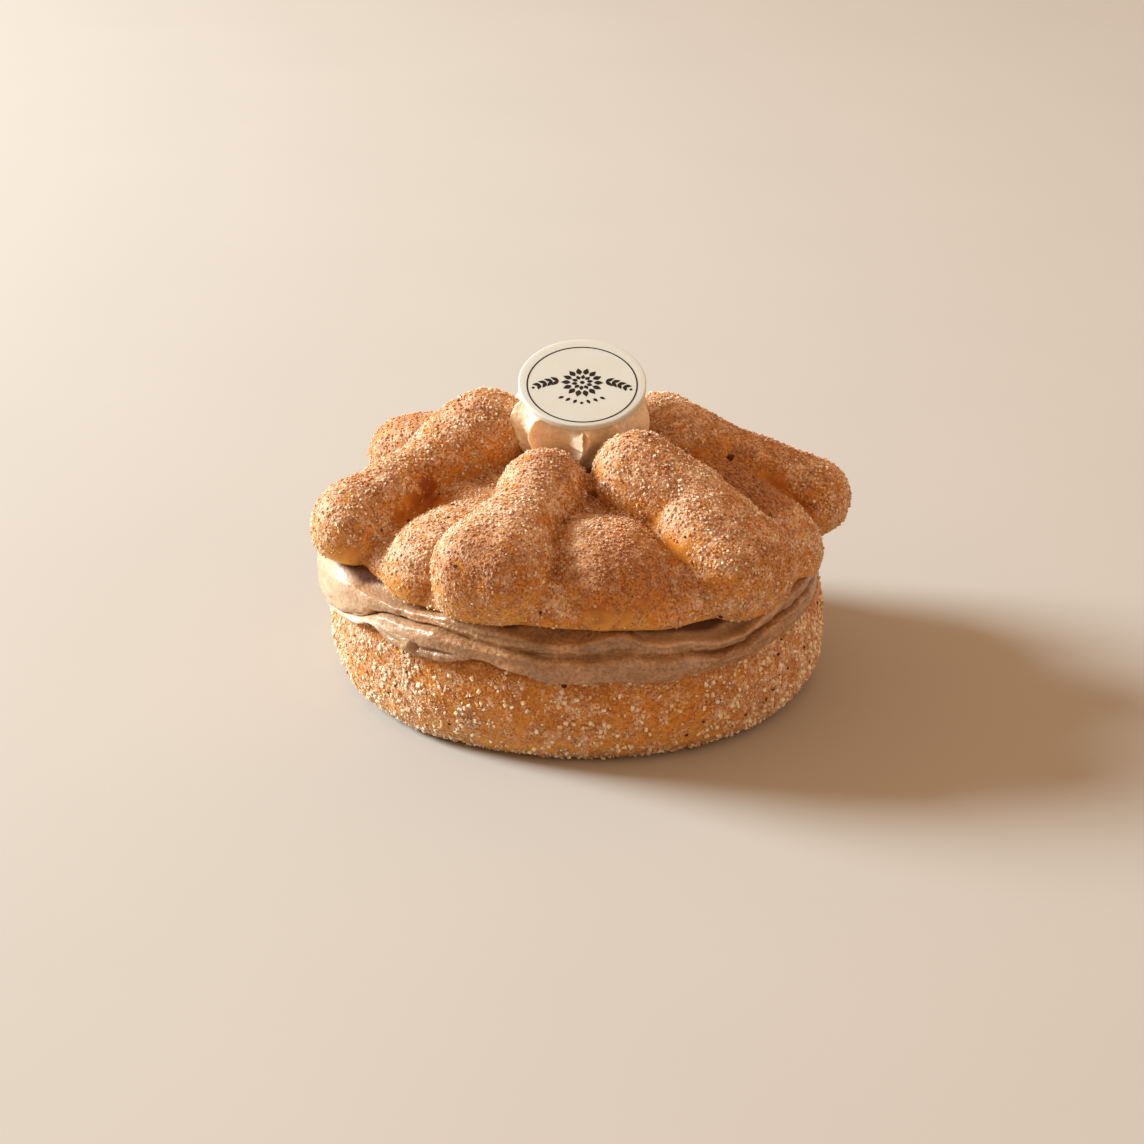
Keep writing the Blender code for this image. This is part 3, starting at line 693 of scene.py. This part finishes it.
def strewn(name, on, width, spacing, share, seed, tints=(0.0, 1.0), blocky=True):
    """Grains at their true size, scattered over a piece where its sugar is thick, as one mesh."""
    tree = bpy.data.node_groups.new(name, "GeometryNodeTree")
    tree.interface.new_socket("Geometry", in_out="OUTPUT", socket_type="NodeSocketGeometry")
    node = functools.partial(add_node, tree)
    ground = node("GeometryNodeObjectInfo", {"Object": on}, "Geometry")
    cover = node("GeometryNodeInputNamedAttribute", {"Name": "sugar"}, "Attribute", data_type="FLOAT")
    clumps = node(NOISE, {"Scale": 1000 / 1.9, "Detail": 2.0})
    clumps = node(RANGE, {"Value": clumps, "From Min": 0.35, "From Max": 0.6, "To Min": 0.25})
    cover = node(MATH, {0: cover, 1: clumps}, operation="MULTIPLY")
    points = node("GeometryNodeDistributePointsOnFaces",
                  {"Mesh": ground, "Distance Min": spacing, "Density Max": 1.3 * share / spacing ** 2,
                   "Density Factor": cover, "Seed": seed}, distribute_method="POISSON")
    if blocky:
        grain = node("GeometryNodeMeshCube", {"Size": (width, 0.8 * width, 0.92 * width)})
    else:
        grain = node("GeometryNodeMeshUVSphere", {"Segments": 4, "Rings": 2, "Radius": 0.5 * width})
    turn, size = (node("FunctionNodeRandomValue", {0: (least,) * 3, 1: (most,) * 3, 8: draw},
                       data_type="FLOAT_VECTOR")
                  for least, most, draw in ((0.0, math.tau, seed + 1), (0.6, 1.2, seed + 2)))
    tint = node("FunctionNodeRandomValue", {2: tints[0], 3: tints[1], 8: seed + 3}, 1, data_type="FLOAT")
    grains = node("GeometryNodeInstanceOnPoints",
                  {"Points": points, "Instance": grain, "Rotation": turn, "Scale": size})
    grains = node("GeometryNodeStoreNamedAttribute", {"Geometry": grains, "Name": "tint", "Value": tint},
                  data_type="FLOAT", domain="INSTANCE")
    node("NodeGroupOutput", {"Geometry": node("GeometryNodeRealizeInstances", {"Geometry": grains})})
    mesh = frozen(bpy.data.meshes.new(name), strew=("NODES", {"node_group": tree}))

    # No grain reaches into the floor
    places = rows_of(mesh.vertices, "co")
    places[:, 2] = np.maximum(places[:, 2], 0.02 * MM)
    mesh.vertices.foreach_set("co", places.ravel())
    mesh.name = name
    triangles = len(mesh.polygons) * (2 if blocky else 1)
    if not 0 < triangles < MOST_TRIANGLES:
        raise RuntimeError(f"{name} has {triangles} triangles")
    return mesh


def flakes(name, mesh, places, seed):
    """Flat, broken flakes pressed on the crust at named places."""
    ground = bmesh.new()
    ground.from_mesh(mesh)
    finder = BVHTree.FromBMesh(ground)
    ground.free()
    bm = bmesh.new()
    noise.seed_set(seed)
    for number, (bearing, distance, height, width) in enumerate(places):
        point, normal, _, _ = finder.find_nearest(polar(bearing, distance * MM, height * MM))
        size = 0.5 * width * MM
        lie = (Matrix.Translation(point + normal * 0.2 * size)
               @ normal.to_track_quat("Z", "Y").to_matrix().to_4x4() @ Matrix.Rotation(number, 4, "Z")
               @ Matrix.Diagonal((size, 0.75 * size, 0.5 * size, 1.0)))
        for vertex in bmesh.ops.create_icosphere(bm, subdivisions=2, radius=1.0, matrix=lie)["verts"]:
            vertex.co += noise.noise_vector(vertex.co / (0.7 * size)) * 0.6 * size
    result = as_mesh(bm, name)
    result.shade_flat()
    return result


class PAN_OT_lower_half(Operator):
    """Turn the lower half of the roll, bulge its crust and work out where its sugar lies"""

    bl_idname = "pan.lower_half"
    bl_label = "Lower half"

    def execute(self, context):
        radius = context.scene.pan_roll.roll_radius
        wall = [(share * radius, height * MM) for share, height in BASE_OUTLINE]
        slice_rings, rows, foot_rings, steps = 24, 64, 10, 480
        outline = [(k / slice_rings * wall[0][0], wall[0][1]) for k in range(slice_rings)]
        outline += [down_the_wall(wall, k / rows) for k in range(rows + 1)]
        outline += [(wall[-1][0] * (1 - k / foot_rings), 0.0) for k in range(1, foot_rings + 1)]
        bm = turned(outline, steps)
        for vertex in bm.verts:
            point = vertex.co.copy()
            distance = point.xy.length
            if distance < 0.8 * radius:
                continue
            out = ripple(point, 17.0 * MM, 0.8 * MM)
            if point.z > 0.0:
                out += ripple(point, 5.0 * MM, 0.22 * MM) + ripple(point, 1.8 * MM, 0.07 * MM)
            vertex.co.xy *= 1.0 + (out - 0.8 * MM) / distance
        mesh = as_mesh(bm, "lower_half")

        def rule(place, normal):
            """Thick at the right and the left of the front and along the foot, thin under the cream."""
            if normal.z > 0.9 or place.z < 0.3 * MM:
                return 0.0
            bearing = bearing_of(place)
            cover = 0.39 + ripple(place, 9.0 * MM, 0.28) + ripple(place, 2.6 * MM, 0.55)
            cover += 0.34 * near(bearing, 325.0, 32.0) + 0.20 * near(bearing, 220.0, 34.0)
            cover += 0.25 * smooth((4.5 * MM - place.z) / (3.0 * MM))
            cover -= 0.06 * near(bearing, 272.0, 35.0, 1.3)
            under_cream = smooth((place.z - 19.5 * MM) / (3.5 * MM))
            cover -= 0.25 * under_cream * (0.35 + smooth(abs(bearing - 325.0) / 30.0))
            return max(cover, THINNEST_SUGAR)

        sugar_cover(mesh, rule)
        add_piece("lower_half", mesh, sugared_crust("Sugared lower crust", context.scene.pan_colours),
                  "lower_crust", "bread_base")
        return {"FINISHED"}


class PAN_OT_filling(Operator):
    """Spread the cream: a lip, a fold, a belly and a hem run round the roll, with knife marks"""

    bl_idname = "pan.filling"
    bl_label = "Filling"

    def wall(self, bearing, sizes, inner, low, high):
        """Distances and heights in mm down the cream's outer side at a bearing."""
        edge = polar(bearing, sizes.roll_radius, 0.0)

        def at(track):
            return round_the_roll(track, bearing)

        def wave(shift, length, amount):
            return ripple(edge + Vector((0.0, 0.0, shift)), length * MM, amount)

        top = (high - sizes.slice_lean * sizes.roll_radius * math.cos(math.radians(bearing))) / MM
        gap, width = max(0.0, at(LIP_GAP)), at(FOLD_WIDTH)
        lip = min(at(LIP_HEIGHT), top - gap - 0.9) + wave(0.0, 7.0, 0.5) + wave(0.0, 2.4, 0.25)
        fold = min(at(FOLD_HEIGHT) + wave(0.02, 5.0, 0.4), lip - 1.2 - width)
        belly = min(at(BELLY_HEIGHT), fold - 0.6 - width)
        hem = min(at(HEM_HEIGHT) + wave(0.04, 4.0, 0.5) + wave(0.06, 1.4, 0.3), belly - 0.9)
        lip_out = at(LIP_RADIUS) + wave(0.08, 4.0, 0.4)
        belly_out = at(BELLY_RADIUS)
        depth = at(FOLD_DEPTH) * (1.0 + wave(0.1, 5.0, 0.5))
        fold_out = min(lip_out, belly_out) - depth
        scoop = 0.4 * max(0.0, gap - 1.0)
        return ((inner / MM, top), (lip_out - 8.0, top - 0.2 * gap),
                (lip_out - 4.6 - scoop, top - 0.5 * gap), (lip_out - 2.4 - scoop, top - 0.95 * gap),
                (lip_out - 0.7, 0.4 * (top - gap) + 0.6 * lip + 0.25),
                (lip_out, lip + 0.1), (lip_out - 0.1, 0.5 * (lip + fold + width)),
                (lip_out - 0.25 * depth, fold + 0.8 * width), (fold_out, fold + 0.1 * width),
                (fold_out + 0.1, fold - 0.15 * width), (belly_out - 0.25 * depth, fold - 0.7 * width),
                (belly_out, belly), (belly_out + 0.05, 0.5 * belly + 0.5 * hem),
                (belly_out - 0.35, hem + 0.1), (belly_out - 1.2, hem + 0.05),
                (belly_out - 2.8, hem + 0.5), (inner / MM + 6.0, low / MM + 0.3), (inner / MM, low / MM))

    def execute(self, context):
        sizes, colours = context.scene.pan_roll, context.scene.pan_colours
        low = sizes.base_height + sizes.gap
        high = sizes.base_height + sizes.filling_height - sizes.gap
        inner = 0.80 * sizes.roll_radius
        # The turned start is a plain drum whose height tells how far down the wall a vertex is
        rings, rows, steps = 6, 84, 840
        outline = [(inner * k / rings, 1.0) for k in range(rings + 1)]
        outline += [(inner + MM, 1.0 - k / rows) for k in range(rows + 1)]
        outline += [(inner * (1 - k / rings), 0.0) for k in range(rings + 1)]
        bm = turned(outline, steps)
        wall_at = functools.lru_cache(maxsize=None)(
            lambda bearing: self.wall(bearing, sizes, inner, low, high))

        recess_shade, pale = [], []
        for vertex in bm.verts:
            point = vertex.co.copy()
            recess_shade.append(0.0)
            pale.append(0.0)
            if point.xy.length < inner + 0.5 * MM:
                vertex.co.z = high - sizes.slice_lean * point.x if point.z > 0.5 else low
                continue
            bearing = round(bearing_of(point), 3)
            distance, height = down_the_wall(wall_at(bearing), 1.0 - point.z)
            open_share = smooth(2.6 * (1.0 - point.z) - 0.35) * smooth(2.2 * point.z)
            out = 0.0
            for mark_bearing, mark_height, length, rise, depth, lean in MARKS:
                along = (bearing - mark_bearing + 180.0) % 360.0 - 180.0
                if abs(along) < 3.0 * length:
                    across = height - mark_height - lean * along
                    out -= depth * math.exp(-(along / length) ** 4 - (across / rise) ** 2)
            there = polar(bearing, distance * MM, height * MM)
            stroke = Vector((0.28 * there.x, 0.28 * there.y, 1.7 * (there.z + 0.012 * there.x)))
            torn = abs(ripple(there, 2.3 * MM, 1.0))
            out += open_share * (ripple(there, 6.0 * MM, 0.32) + ripple(stroke, 2.4 * MM, 0.42)
                                 + ripple(stroke, 0.9 * MM, 0.16) + ripple(there, 1.1 * MM, 0.10)
                                 - 0.8 * max(0.0, torn - 0.42))
            sag = open_share * ripple(there + Vector((9.0, 0.0, 0.0)), 8.0 * MM, 0.35)
            vertex.co = polar(bearing, (distance + out) * MM, (height + sag) * MM)

            # Painted shade where it lies deep behind the lip under the bread, and painted light on the left
            # and on two ridges
            above_lip = height - round_the_roll(LIP_HEIGHT, bearing)
            above_belly = height - round_the_roll(BELLY_HEIGHT, bearing)
            behind = (round_the_roll(LIP_RADIUS, bearing) - distance - 0.6) / 2.8
            recess_shade[-1] = smooth(above_lip) * smooth(behind)
            # Painted light: paler over the lit left side, on the lip's ridge at the right front and the
            # belly's ridge at the left
            pale[-1] = (0.5 * near(bearing, 194.0, 34.0, 1.3)
                        + 0.3 * near(bearing, 308.0, 20.0, 1.5) * math.exp(-(above_lip / 1.3) ** 2)
                        + 0.3 * near(bearing, 222.0, 12.0, 1.5) * math.exp(-(above_belly / 1.6) ** 2))
        mesh = as_mesh(bm, "filling")
        give_values(mesh, "recess_shade", recess_shade)
        give_values(mesh, "pale", pale)
        cream = whipped_cream("Spread chocolate cream", colours.cream, colours.cream_deep,
                              linear("#6E4624"), 0.9)
        add_piece("filling", mesh, cream, "filling", "cream_filling")
        return {"FINISHED"}


class PAN_OT_upper_half(Operator):
    """Roll the dough arms, fuse them with the dome, slice the half flat and lay the sugar on it"""

    bl_idname = "pan.upper_half"
    bl_label = "Upper half"

    def add_ball(self, bm, bearing, distance, height, length, width, rise):
        """A ball of dough, or a row of three where it is wider than high."""
        centre = polar(bearing, distance * MM, height * MM)
        across = polar(bearing + 90.0, max(width - rise, 0.0) * MM, 0.0)
        for side in ((-1, 0, 1) if width > rise else (0,)):
            place = (Matrix.Translation(centre + side * across)
                     @ Matrix.Rotation(math.radians(bearing), 4, "Z")
                     @ Matrix.Diagonal((length * MM, min(width, rise) * MM, rise * MM, 1.0)))
            bmesh.ops.create_icosphere(bm, subdivisions=3, radius=1.0, matrix=place)

    def add_arm(self, bm, stations):
        """Balls run along the arm, swelling and thinning from station to station."""
        for this, following in zip(stations, stations[1:]):
            count = math.ceil((following[1] - this[1]) / 2.0)
            for i in range(count + 1):
                share = i / count
                bearing, distance, height = (this[k] + (following[k] - this[k]) * share for k in range(3))
                width, rise = (this[k] + (following[k] - this[k]) * smooth(share) for k in (3, 4))
                self.add_ball(bm, bearing, distance, height, rise, width, rise)

    def hang_rim(self, bm, sizes, cut, slice_normal):
        """The rim sags below the slice, and its lower edge tucks in."""
        for vertex in bm.verts:
            above = (vertex.co - Vector((0.0, 0.0, cut))).dot(slice_normal)
            out = vertex.co.xy.length - 0.85 * sizes.roll_radius
            if above < 9.0 * MM and out > 0.0:
                outer = smooth(out / (6.0 * MM))
                tuck = max(0.0, 1.0 - above / (1.2 * MM)) ** 2
                vertex.co.xy *= 1.0 - 0.5 * tuck * outer * MM / vertex.co.xy.length
                droop = round_the_roll(RIM_DROOP, bearing_of(vertex.co)) * MM
                droop += ripple(vertex.co, 4.0 * MM, 0.3 * MM)
                vertex.co.z -= (1.0 - above / (9.0 * MM)) * outer * droop

    def execute(self, context):
        sizes = context.scene.pan_roll
        cut = sizes.base_height + sizes.filling_height
        bm = turned([(radius * sizes.roll_radius, cut + height * sizes.dome_height)
                     for radius, height in DOME_OUTLINE], 120)
        for lobe in LOBES.values():
            self.add_ball(bm, *lobe)
        for stations in ARMS.values():
            self.add_arm(bm, stations)
        fused = frozen(as_mesh(bm, "dough"),
                       fuse=("REMESH", {"mode": "VOXEL", "voxel_size": sizes.dough_voxel}),
                       soften=("SMOOTH", {"factor": 0.5, "iterations": 1}))

        # The creases between the pieces of dough deepen as it bakes, and the crust wrinkles
        hollow = sum(share * np.clip(hollowness(fused, reach), 0.0, most)
                     for share, reach, most in ((0.9, 10, 0.8), (0.12, 70, 1.2)))
        bm = bmesh.new()
        bm.from_mesh(fused)
        bm.normal_update()
        for vertex, deeper in zip(bm.verts, hollow):
            vertex.co -= vertex.normal * deeper * MM
            out = sum(ripple(vertex.co, length * MM, much * MM)
                      for length, much in ((14.0, 0.7), (5.0, 0.2), (2.2, 0.08)))
            vertex.co.xy *= 1.0 + out / max(vertex.co.xy.length, MM)
        slice_normal = Vector((sizes.slice_lean, 0.0, 1.0)).normalized()
        cut_flat(bm, (0.0, 0.0, cut), slice_normal, clear_inner=True)
        self.hang_rim(bm, sizes, cut, slice_normal)
        bmesh.ops.recalc_face_normals(bm, faces=bm.faces)
        mesh = as_mesh(bm, "upper_half")

        def rule(place, normal):
            """Thickest on what faces up."""
            cover = 0.47 + 0.33 * smooth((normal.z + 0.1) / 0.9)
            cover += ripple(place, 8.0 * MM, 0.30) + ripple(place, 2.6 * MM, 0.45)
            return max(cover, THINNEST_SUGAR)

        def lip(places):
            """Thinner along the rim."""
            above = places[:, 2] + sizes.slice_lean * places[:, 0] - cut
            return 0.7 + 0.3 * np.clip((above + 0.5 * MM) / (3.0 * MM), 0.0, 1.0)

        sugar_cover(mesh, rule, BARE_PATCHES.values(), lip)
        add_piece("upper_half", mesh, sugared_crust("Sugared upper crust", context.scene.pan_colours),
                  "upper_crust", "bread_top")
        return {"FINISHED"}


class PAN_OT_rosette(Operator):
    """Pipe the fluted rosette that fills the hollow between the arms and carries the disc"""

    bl_idname = "pan.rosette"
    bl_label = "Rosette"

    def flute(self, bearing, depth):
        """Share of the radius: 1 on a sharp ridge, less in the hollow flutes, least in the widest."""
        ridges = RIDGES + (RIDGES[0] + 360,)
        if bearing < ridges[0]:
            bearing += 360.0
        this, following = next(pair for pair in zip(ridges, ridges[1:]) if bearing <= pair[1])
        share = (bearing - this) / (following - this)
        widest = max(end - start for start, end in zip(ridges, ridges[1:]))
        away = min(share, 1.0 - share) * (following - this)
        return (1.0 - depth * (following - this) / widest * math.sin(math.pi * share) ** 0.9
                + 0.035 * math.exp(-(away / 2.8) ** 2))

    def torn(self, bearing, height):
        """How far in mm a torn flap stands out at the front, and the last ridge curls up beside it."""
        across = (bearing - 258.0) / 14.0
        low, high = 60.4 - 0.4 * across, 61.2 + 4.2 * across
        curl = bearing - 276.0 - 3.4 * (height - 53.0)
        out = 0.8 * math.exp(-(curl / 5.0) ** 2) * smooth((height - 52.0) / 4.0)
        if 0.0 < across < 1.08:
            out += 1.7 * across * smooth((height - low) / 0.5) * smooth((high - height) / 0.7)
        return out

    def execute(self, context):
        sizes, colours = context.scene.pan_topping, context.scene.pan_colours
        top, foot = ROSETTE_PROFILE[-1][0], ROSETTE_PROFILE[0][0]
        rows, steps = 80, 540
        wall = [down_the_wall(ROSETTE_PROFILE[::-1], k / rows) for k in range(rows + 1)]
        outline = [(0.0, top * MM)] + [(radius * MM, height * MM) for height, radius in wall]
        bm = turned(outline + [(0.0, foot * MM)], steps)
        for vertex in bm.verts:
            point = vertex.co.copy()
            share = (point.z / MM - foot) / (top - foot)
            bearing = bearing_of(point)
            wobble = 2.5 * math.sin(point.z / (2.2 * MM) + 0.05 * bearing)
            factor = self.flute((bearing + wobble) % 360.0, sizes.flute_depth)
            bearing += math.degrees(sizes.twist) * (share - 0.5)
            there = polar(bearing, point.xy.length * factor, point.z)
            out = ripple(there, 3.0 * MM, 0.35 * MM) + ripple(there, 1.0 * MM, 0.12 * MM)
            out += self.torn(bearing, point.z / MM) * MM
            if point.xy.length > MM:
                there.xy *= 1.0 + out / there.xy.length
            vertex.co = there
        under = disc_frame(sizes) @ Matrix.Translation((0, 0, -0.5 * sizes.disc_thickness))
        cut_flat(bm, under.translation, under.col[2].xyz, clear_outer=True)
        bmesh.ops.recalc_face_normals(bm, faces=bm.faces)
        cream = whipped_cream("Piped cream", colours.rosette, linear("#E6CBA8"), linear("#E0BC96"), 0.45)
        add_piece("rosette", as_mesh(bm, "rosette"), cream, "rosette", "cream_rosette")
        return {"FINISHED"}


def disc_frame(sizes):
    """Where the disc's middle is and how it leans: its own +Z is the printed side."""
    return Matrix.Translation(sizes.disc_centre) @ Matrix.Rotation(sizes.disc_tilt, 4, "X")


class PAN_OT_disc(Operator):
    """Cast the white chocolate disc, with a soft rim"""

    bl_idname = "pan.disc"
    bl_label = "Chocolate disc"

    def execute(self, context):
        sizes = context.scene.pan_topping
        half, soft, rings, steps = 0.5 * sizes.disc_thickness, 0.32 * MM, 12, 180
        side = [(k / rings * (sizes.disc_radius - soft), half) for k in range(rings + 1)]
        side += [(sizes.disc_radius - soft * (1 - math.sin(math.radians(angle))),
                  half - soft * (1 - math.cos(math.radians(angle)))) for angle in range(15, 91, 15)]
        bm = turned(side + [(radius, -height) for radius, height in reversed(side)], steps)
        for vertex in bm.verts:
            if vertex.co.xy.length > 0.8 * sizes.disc_radius:
                out = ripple(vertex.co, 6.0 * MM, 0.12 * MM) + ripple(vertex.co, 1.4 * MM, 0.03 * MM)
                vertex.co.xy *= 1.0 + out / vertex.co.xy.length
        bmesh.ops.transform(bm, matrix=disc_frame(sizes), verts=bm.verts)
        ivory = white_chocolate("Cast white chocolate", context.scene.pan_colours.chocolate)
        add_piece("disc", as_mesh(bm, "disc"), ivory, "disc", "chocolate_disc")
        return {"FINISHED"}


class PAN_OT_disc_print(Operator):
    """Print a thin ring, a marigold and two leafy sprigs on the disc"""

    bl_idname = "pan.disc_print"
    bl_label = "Print on the disc"

    def add_leaf(self, bm, x, y, length, width, turn):
        """A pointed leaf or petal, its foot at x and y, heading off at an angle in degrees."""
        made = bmesh.ops.create_circle(bm, cap_ends=True, segments=20, radius=0.5)["verts"]
        for vertex in made:
            along = vertex.co.x + 0.5
            vertex.co.x = along * length * MM
            swell = 0.35 + 0.65 * math.sin(math.pi * min(1.0, along * 1.1) ** 0.8)
            vertex.co.y *= 2.0 * width * MM * swell
        matrix = Matrix.Translation((x * MM, y * MM, 0.0)) @ Matrix.Rotation(math.radians(turn), 4, "Z")
        bmesh.ops.transform(bm, matrix=matrix, verts=made)

    def add_dot(self, bm, x, y, radius, segments=16):
        bmesh.ops.create_circle(bm, cap_ends=True, segments=segments, radius=radius * MM,
                                matrix=Matrix.Translation((x * MM, y * MM, 0.0)))

    def add_ring(self, bm, radius, width):
        """A thin printed ring."""
        edges = []
        for edge in (radius - 0.5 * width, radius + 0.5 * width):
            verts = bmesh.ops.create_circle(bm, segments=160, radius=edge * MM)["verts"]
            edges += list({link for vertex in verts for link in vertex.link_edges})
        bmesh.ops.bridge_loops(bm, edges=edges)

    def execute(self, context):
        sizes = context.scene.pan_topping
        bm = bmesh.new()
        self.add_ring(bm, sizes.ring_radius / MM, 0.34)
        # A marigold: two rounds of petals about a small eye
        for first, count, foot, length, width in ((0.0, 14, 2.75, 2.2, 0.70), (13.0, 10, 1.15, 1.5, 0.52)):
            for number in range(count):
                petal = polar(360.0 * number / count + first, foot, 0.0)
                self.add_leaf(bm, petal.x, 0.6 + petal.y, length, width, 360.0 * number / count + first)
        self.add_dot(bm, 0.0, 0.6, 0.55, 20)
        # Sprigs sweep out and down on both sides, with leaves in pairs and a dot at the tip, and a
        # row of small petals hangs under the flower
        for side in (-1, 1):
            for number in range(4):
                along = -8.0 - 11.0 * number
                for lean in (38, -38):
                    turn = along + lean if side > 0 else 180.0 - along - lean
                    self.add_leaf(bm, side * (5.5 + 1.45 * number), 1.1 - 0.24 * number ** 1.6,
                                  2.3 - 0.16 * number, 0.52, turn)
            self.add_dot(bm, side * 11.4, -1.5, 0.36)
            for number in range(3):
                self.add_leaf(bm, side * (1.2 + 1.5 * number), -5.3 + 0.5 * number, 1.5, 0.42,
                              side * (30 + 16 * number) - 90)
        self.add_dot(bm, 0.0, -6.4, 0.4)
        bmesh.ops.recalc_face_normals(bm, faces=bm.faces)
        for face in bm.faces:
            if face.normal.z < 0.0:
                face.normal_flip()
        bmesh.ops.solidify(bm, geom=bm.faces[:], thickness=0.05 * MM)
        # The ink's upper side lies 0.03 mm above the disc, a little towards the disc's foot
        lift = 0.5 * sizes.disc_thickness + 0.03 * MM - max(vertex.co.z for vertex in bm.verts)
        bmesh.ops.transform(bm, matrix=disc_frame(sizes) @ Matrix.Translation((0.0, -0.8 * MM, lift)),
                            verts=bm.verts)
        bmesh.ops.recalc_face_normals(bm, faces=bm.faces)
        mesh = as_mesh(bm, "disc_print")
        mesh.shade_flat()
        add_piece("disc_print", mesh, cocoa_ink("Cocoa ink", context.scene.pan_colours.ink), "disc")
        return {"FINISHED"}


def crust_of(half):
    """The finished half that grains or flakes are strewn on."""
    crust = bpy.data.objects.get(half)
    if crust is None:
        raise RuntimeError(f"{half} has to be made before what is strewn on it")
    return crust


class PAN_OT_sugar(Operator):
    """Strew fine, ordinary and coarse sugar over both halves"""

    bl_idname = "pan.sugar"
    bl_label = "Sugar"

    def execute(self, context):
        sugar, colours = context.scene.pan_sugar, context.scene.pan_colours
        crystal = sugar_crystal("Cane sugar", colours.crystal_light, colours.crystal_amber)
        widths = {"fine_sugar": sugar.fine, "table_sugar": sugar.grain, "coarse_sugar": sugar.coarse}
        for half, slot, shift, kinds in STREWN_SUGAR:
            for number, (kind, width, spacing, share, tints) in enumerate(kinds):
                mesh = strewn(f"{kind}_{half}", crust_of(half), width * widths[kind],
                              spacing * sugar.spacing, share, sugar.seed + shift + 7 * number, tints,
                              blocky=kind != "fine_sugar")
                add_piece(f"{kind}_{half}", mesh, crystal, slot)
        return {"FINISHED"}


class PAN_OT_flakes(Operator):
    """Press burnt sugar and cinnamon flakes on the crust"""

    bl_idname = "pan.flakes"
    bl_label = "Cinnamon flakes"

    def execute(self, context):
        burnt = burnt_flake("Burnt sugar and cinnamon", context.scene.pan_colours.cinnamon)
        for half, slot, places in (("upper_half", "upper_crust", UPPER_FLAKES),
                                   ("lower_half", "lower_crust", LOWER_FLAKES)):
            crust = crust_of(half)
            add_piece(f"flakes_{half}", flakes(f"flakes_{half}", crust.data, places, seed=5), burnt, slot)
            dust = strewn(f"cinnamon_{half}", crust, width=0.42 * MM, spacing=3.0 * MM, share=1.0, seed=21,
                          blocky=False)
            add_piece(f"cinnamon_{half}", dust, burnt, slot)
        return {"FINISHED"}


class PAN_OT_stage(Operator):
    """Lay the pale floor, set a cool lamp at the left, a weak warm one at the right and the camera"""

    bl_idname = "pan.stage"
    bl_label = "Stage"

    def execute(self, context):
        scene = context.scene
        bm = bmesh.new()
        bmesh.ops.create_grid(bm, x_segments=8, y_segments=8, size=4.0)
        floor = bpy.data.objects.new("floor", as_mesh(bm, "floor"))
        floor.data.materials.append(painted_floor("Painted board", scene.pan_colours.floor))
        scene.collection.objects.link(floor)

        for name, (place, width, power, colour) in LAMPS.items():
            light = bpy.data.lights.new(name, "AREA")
            light.shape, light.size, light.energy, light.color = "DISK", width, power, colour
            lamp = bpy.data.objects.new(name, light)
            lamp.location = place
            lamp.rotation_mode = "QUATERNION"
            lamp.rotation_quaternion = (Vector((0, 0, 0.03)) - lamp.location).to_track_quat("-Z", "Y")
            scene.collection.objects.link(lamp)

        scene.world = bpy.data.worlds.new("Warm bounce")
        scene.world.use_nodes = True
        room = scene.world.node_tree.nodes["Background"]
        room.inputs["Color"].default_value, room.inputs["Strength"].default_value = ROOM
        scene.view_settings.view_transform = "Standard"
        scene.view_settings.exposure = 0.0

        # The camera looks down by its pitch, to the side by its yaw, and is held askew by its roll
        camera = bpy.data.objects.new("camera", bpy.data.cameras.new("camera"))
        camera.data.lens, camera.data.sensor_width = 85.0, 36.0
        camera.data.clip_start, camera.data.clip_end = 0.01, 20.0
        pitch, yaw, roll = (math.radians(angle) for angle in CAMERA_TURN)
        ahead = Vector((math.sin(yaw) * math.cos(pitch), math.cos(yaw) * math.cos(pitch), -math.sin(pitch)))
        level = Vector((math.cos(yaw), -math.sin(yaw), 0.0))
        above = level.cross(ahead)
        right = level * math.cos(roll) + above * math.sin(roll)
        up = above * math.cos(roll) - level * math.sin(roll)
        camera.matrix_world = (Matrix.Translation(Vector(CAMERA_PLACE) * MM)
                               @ Matrix((right, up, -ahead)).transposed().to_4x4())
        scene.collection.objects.link(camera)
        scene.camera = camera
        return {"FINISHED"}


class PAN_PT_parts(Panel):
    """Lists the parts of the bread"""

    bl_idname = "PAN_PT_parts"
    bl_label = "Pan de muerto"
    bl_space_type = "VIEW_3D"
    bl_region_type = "UI"
    bl_category = "Bread"

    def draw(self, context):
        for operator in STEPS:
            self.layout.operator(operator.bl_idname)
        for setting in SETTINGS:
            group, box = getattr(context.scene, setting), self.layout.box()
            for name in group.__annotations__:
                box.prop(group, name)


SETTINGS = {"pan_roll": RollSizes, "pan_topping": ToppingSizes, "pan_sugar": SugarSizes,
            "pan_colours": FoodColours}
STEPS = (PAN_OT_lower_half, PAN_OT_filling, PAN_OT_upper_half, PAN_OT_rosette, PAN_OT_disc,
         PAN_OT_disc_print, PAN_OT_sugar, PAN_OT_flakes, PAN_OT_stage)
CLASSES = (*SETTINGS.values(), *STEPS, PAN_PT_parts)


def register():
    for cls in CLASSES:
        bpy.utils.register_class(cls)
    for name, group in SETTINGS.items():
        setattr(bpy.types.Scene, name, PointerProperty(type=group))


def unregister():
    for name in SETTINGS:
        delattr(bpy.types.Scene, name)
    for cls in reversed(CLASSES):
        bpy.utils.unregister_class(cls)


def main():
    register()
    bpy.ops.pan.lower_half()
    bpy.ops.pan.filling()
    bpy.ops.pan.upper_half()
    bpy.ops.pan.rosette()
    bpy.ops.pan.disc()
    bpy.ops.pan.disc_print()
    bpy.ops.pan.sugar()
    bpy.ops.pan.flakes()
    bpy.ops.pan.stage()


if __name__ == "__main__":
    main()
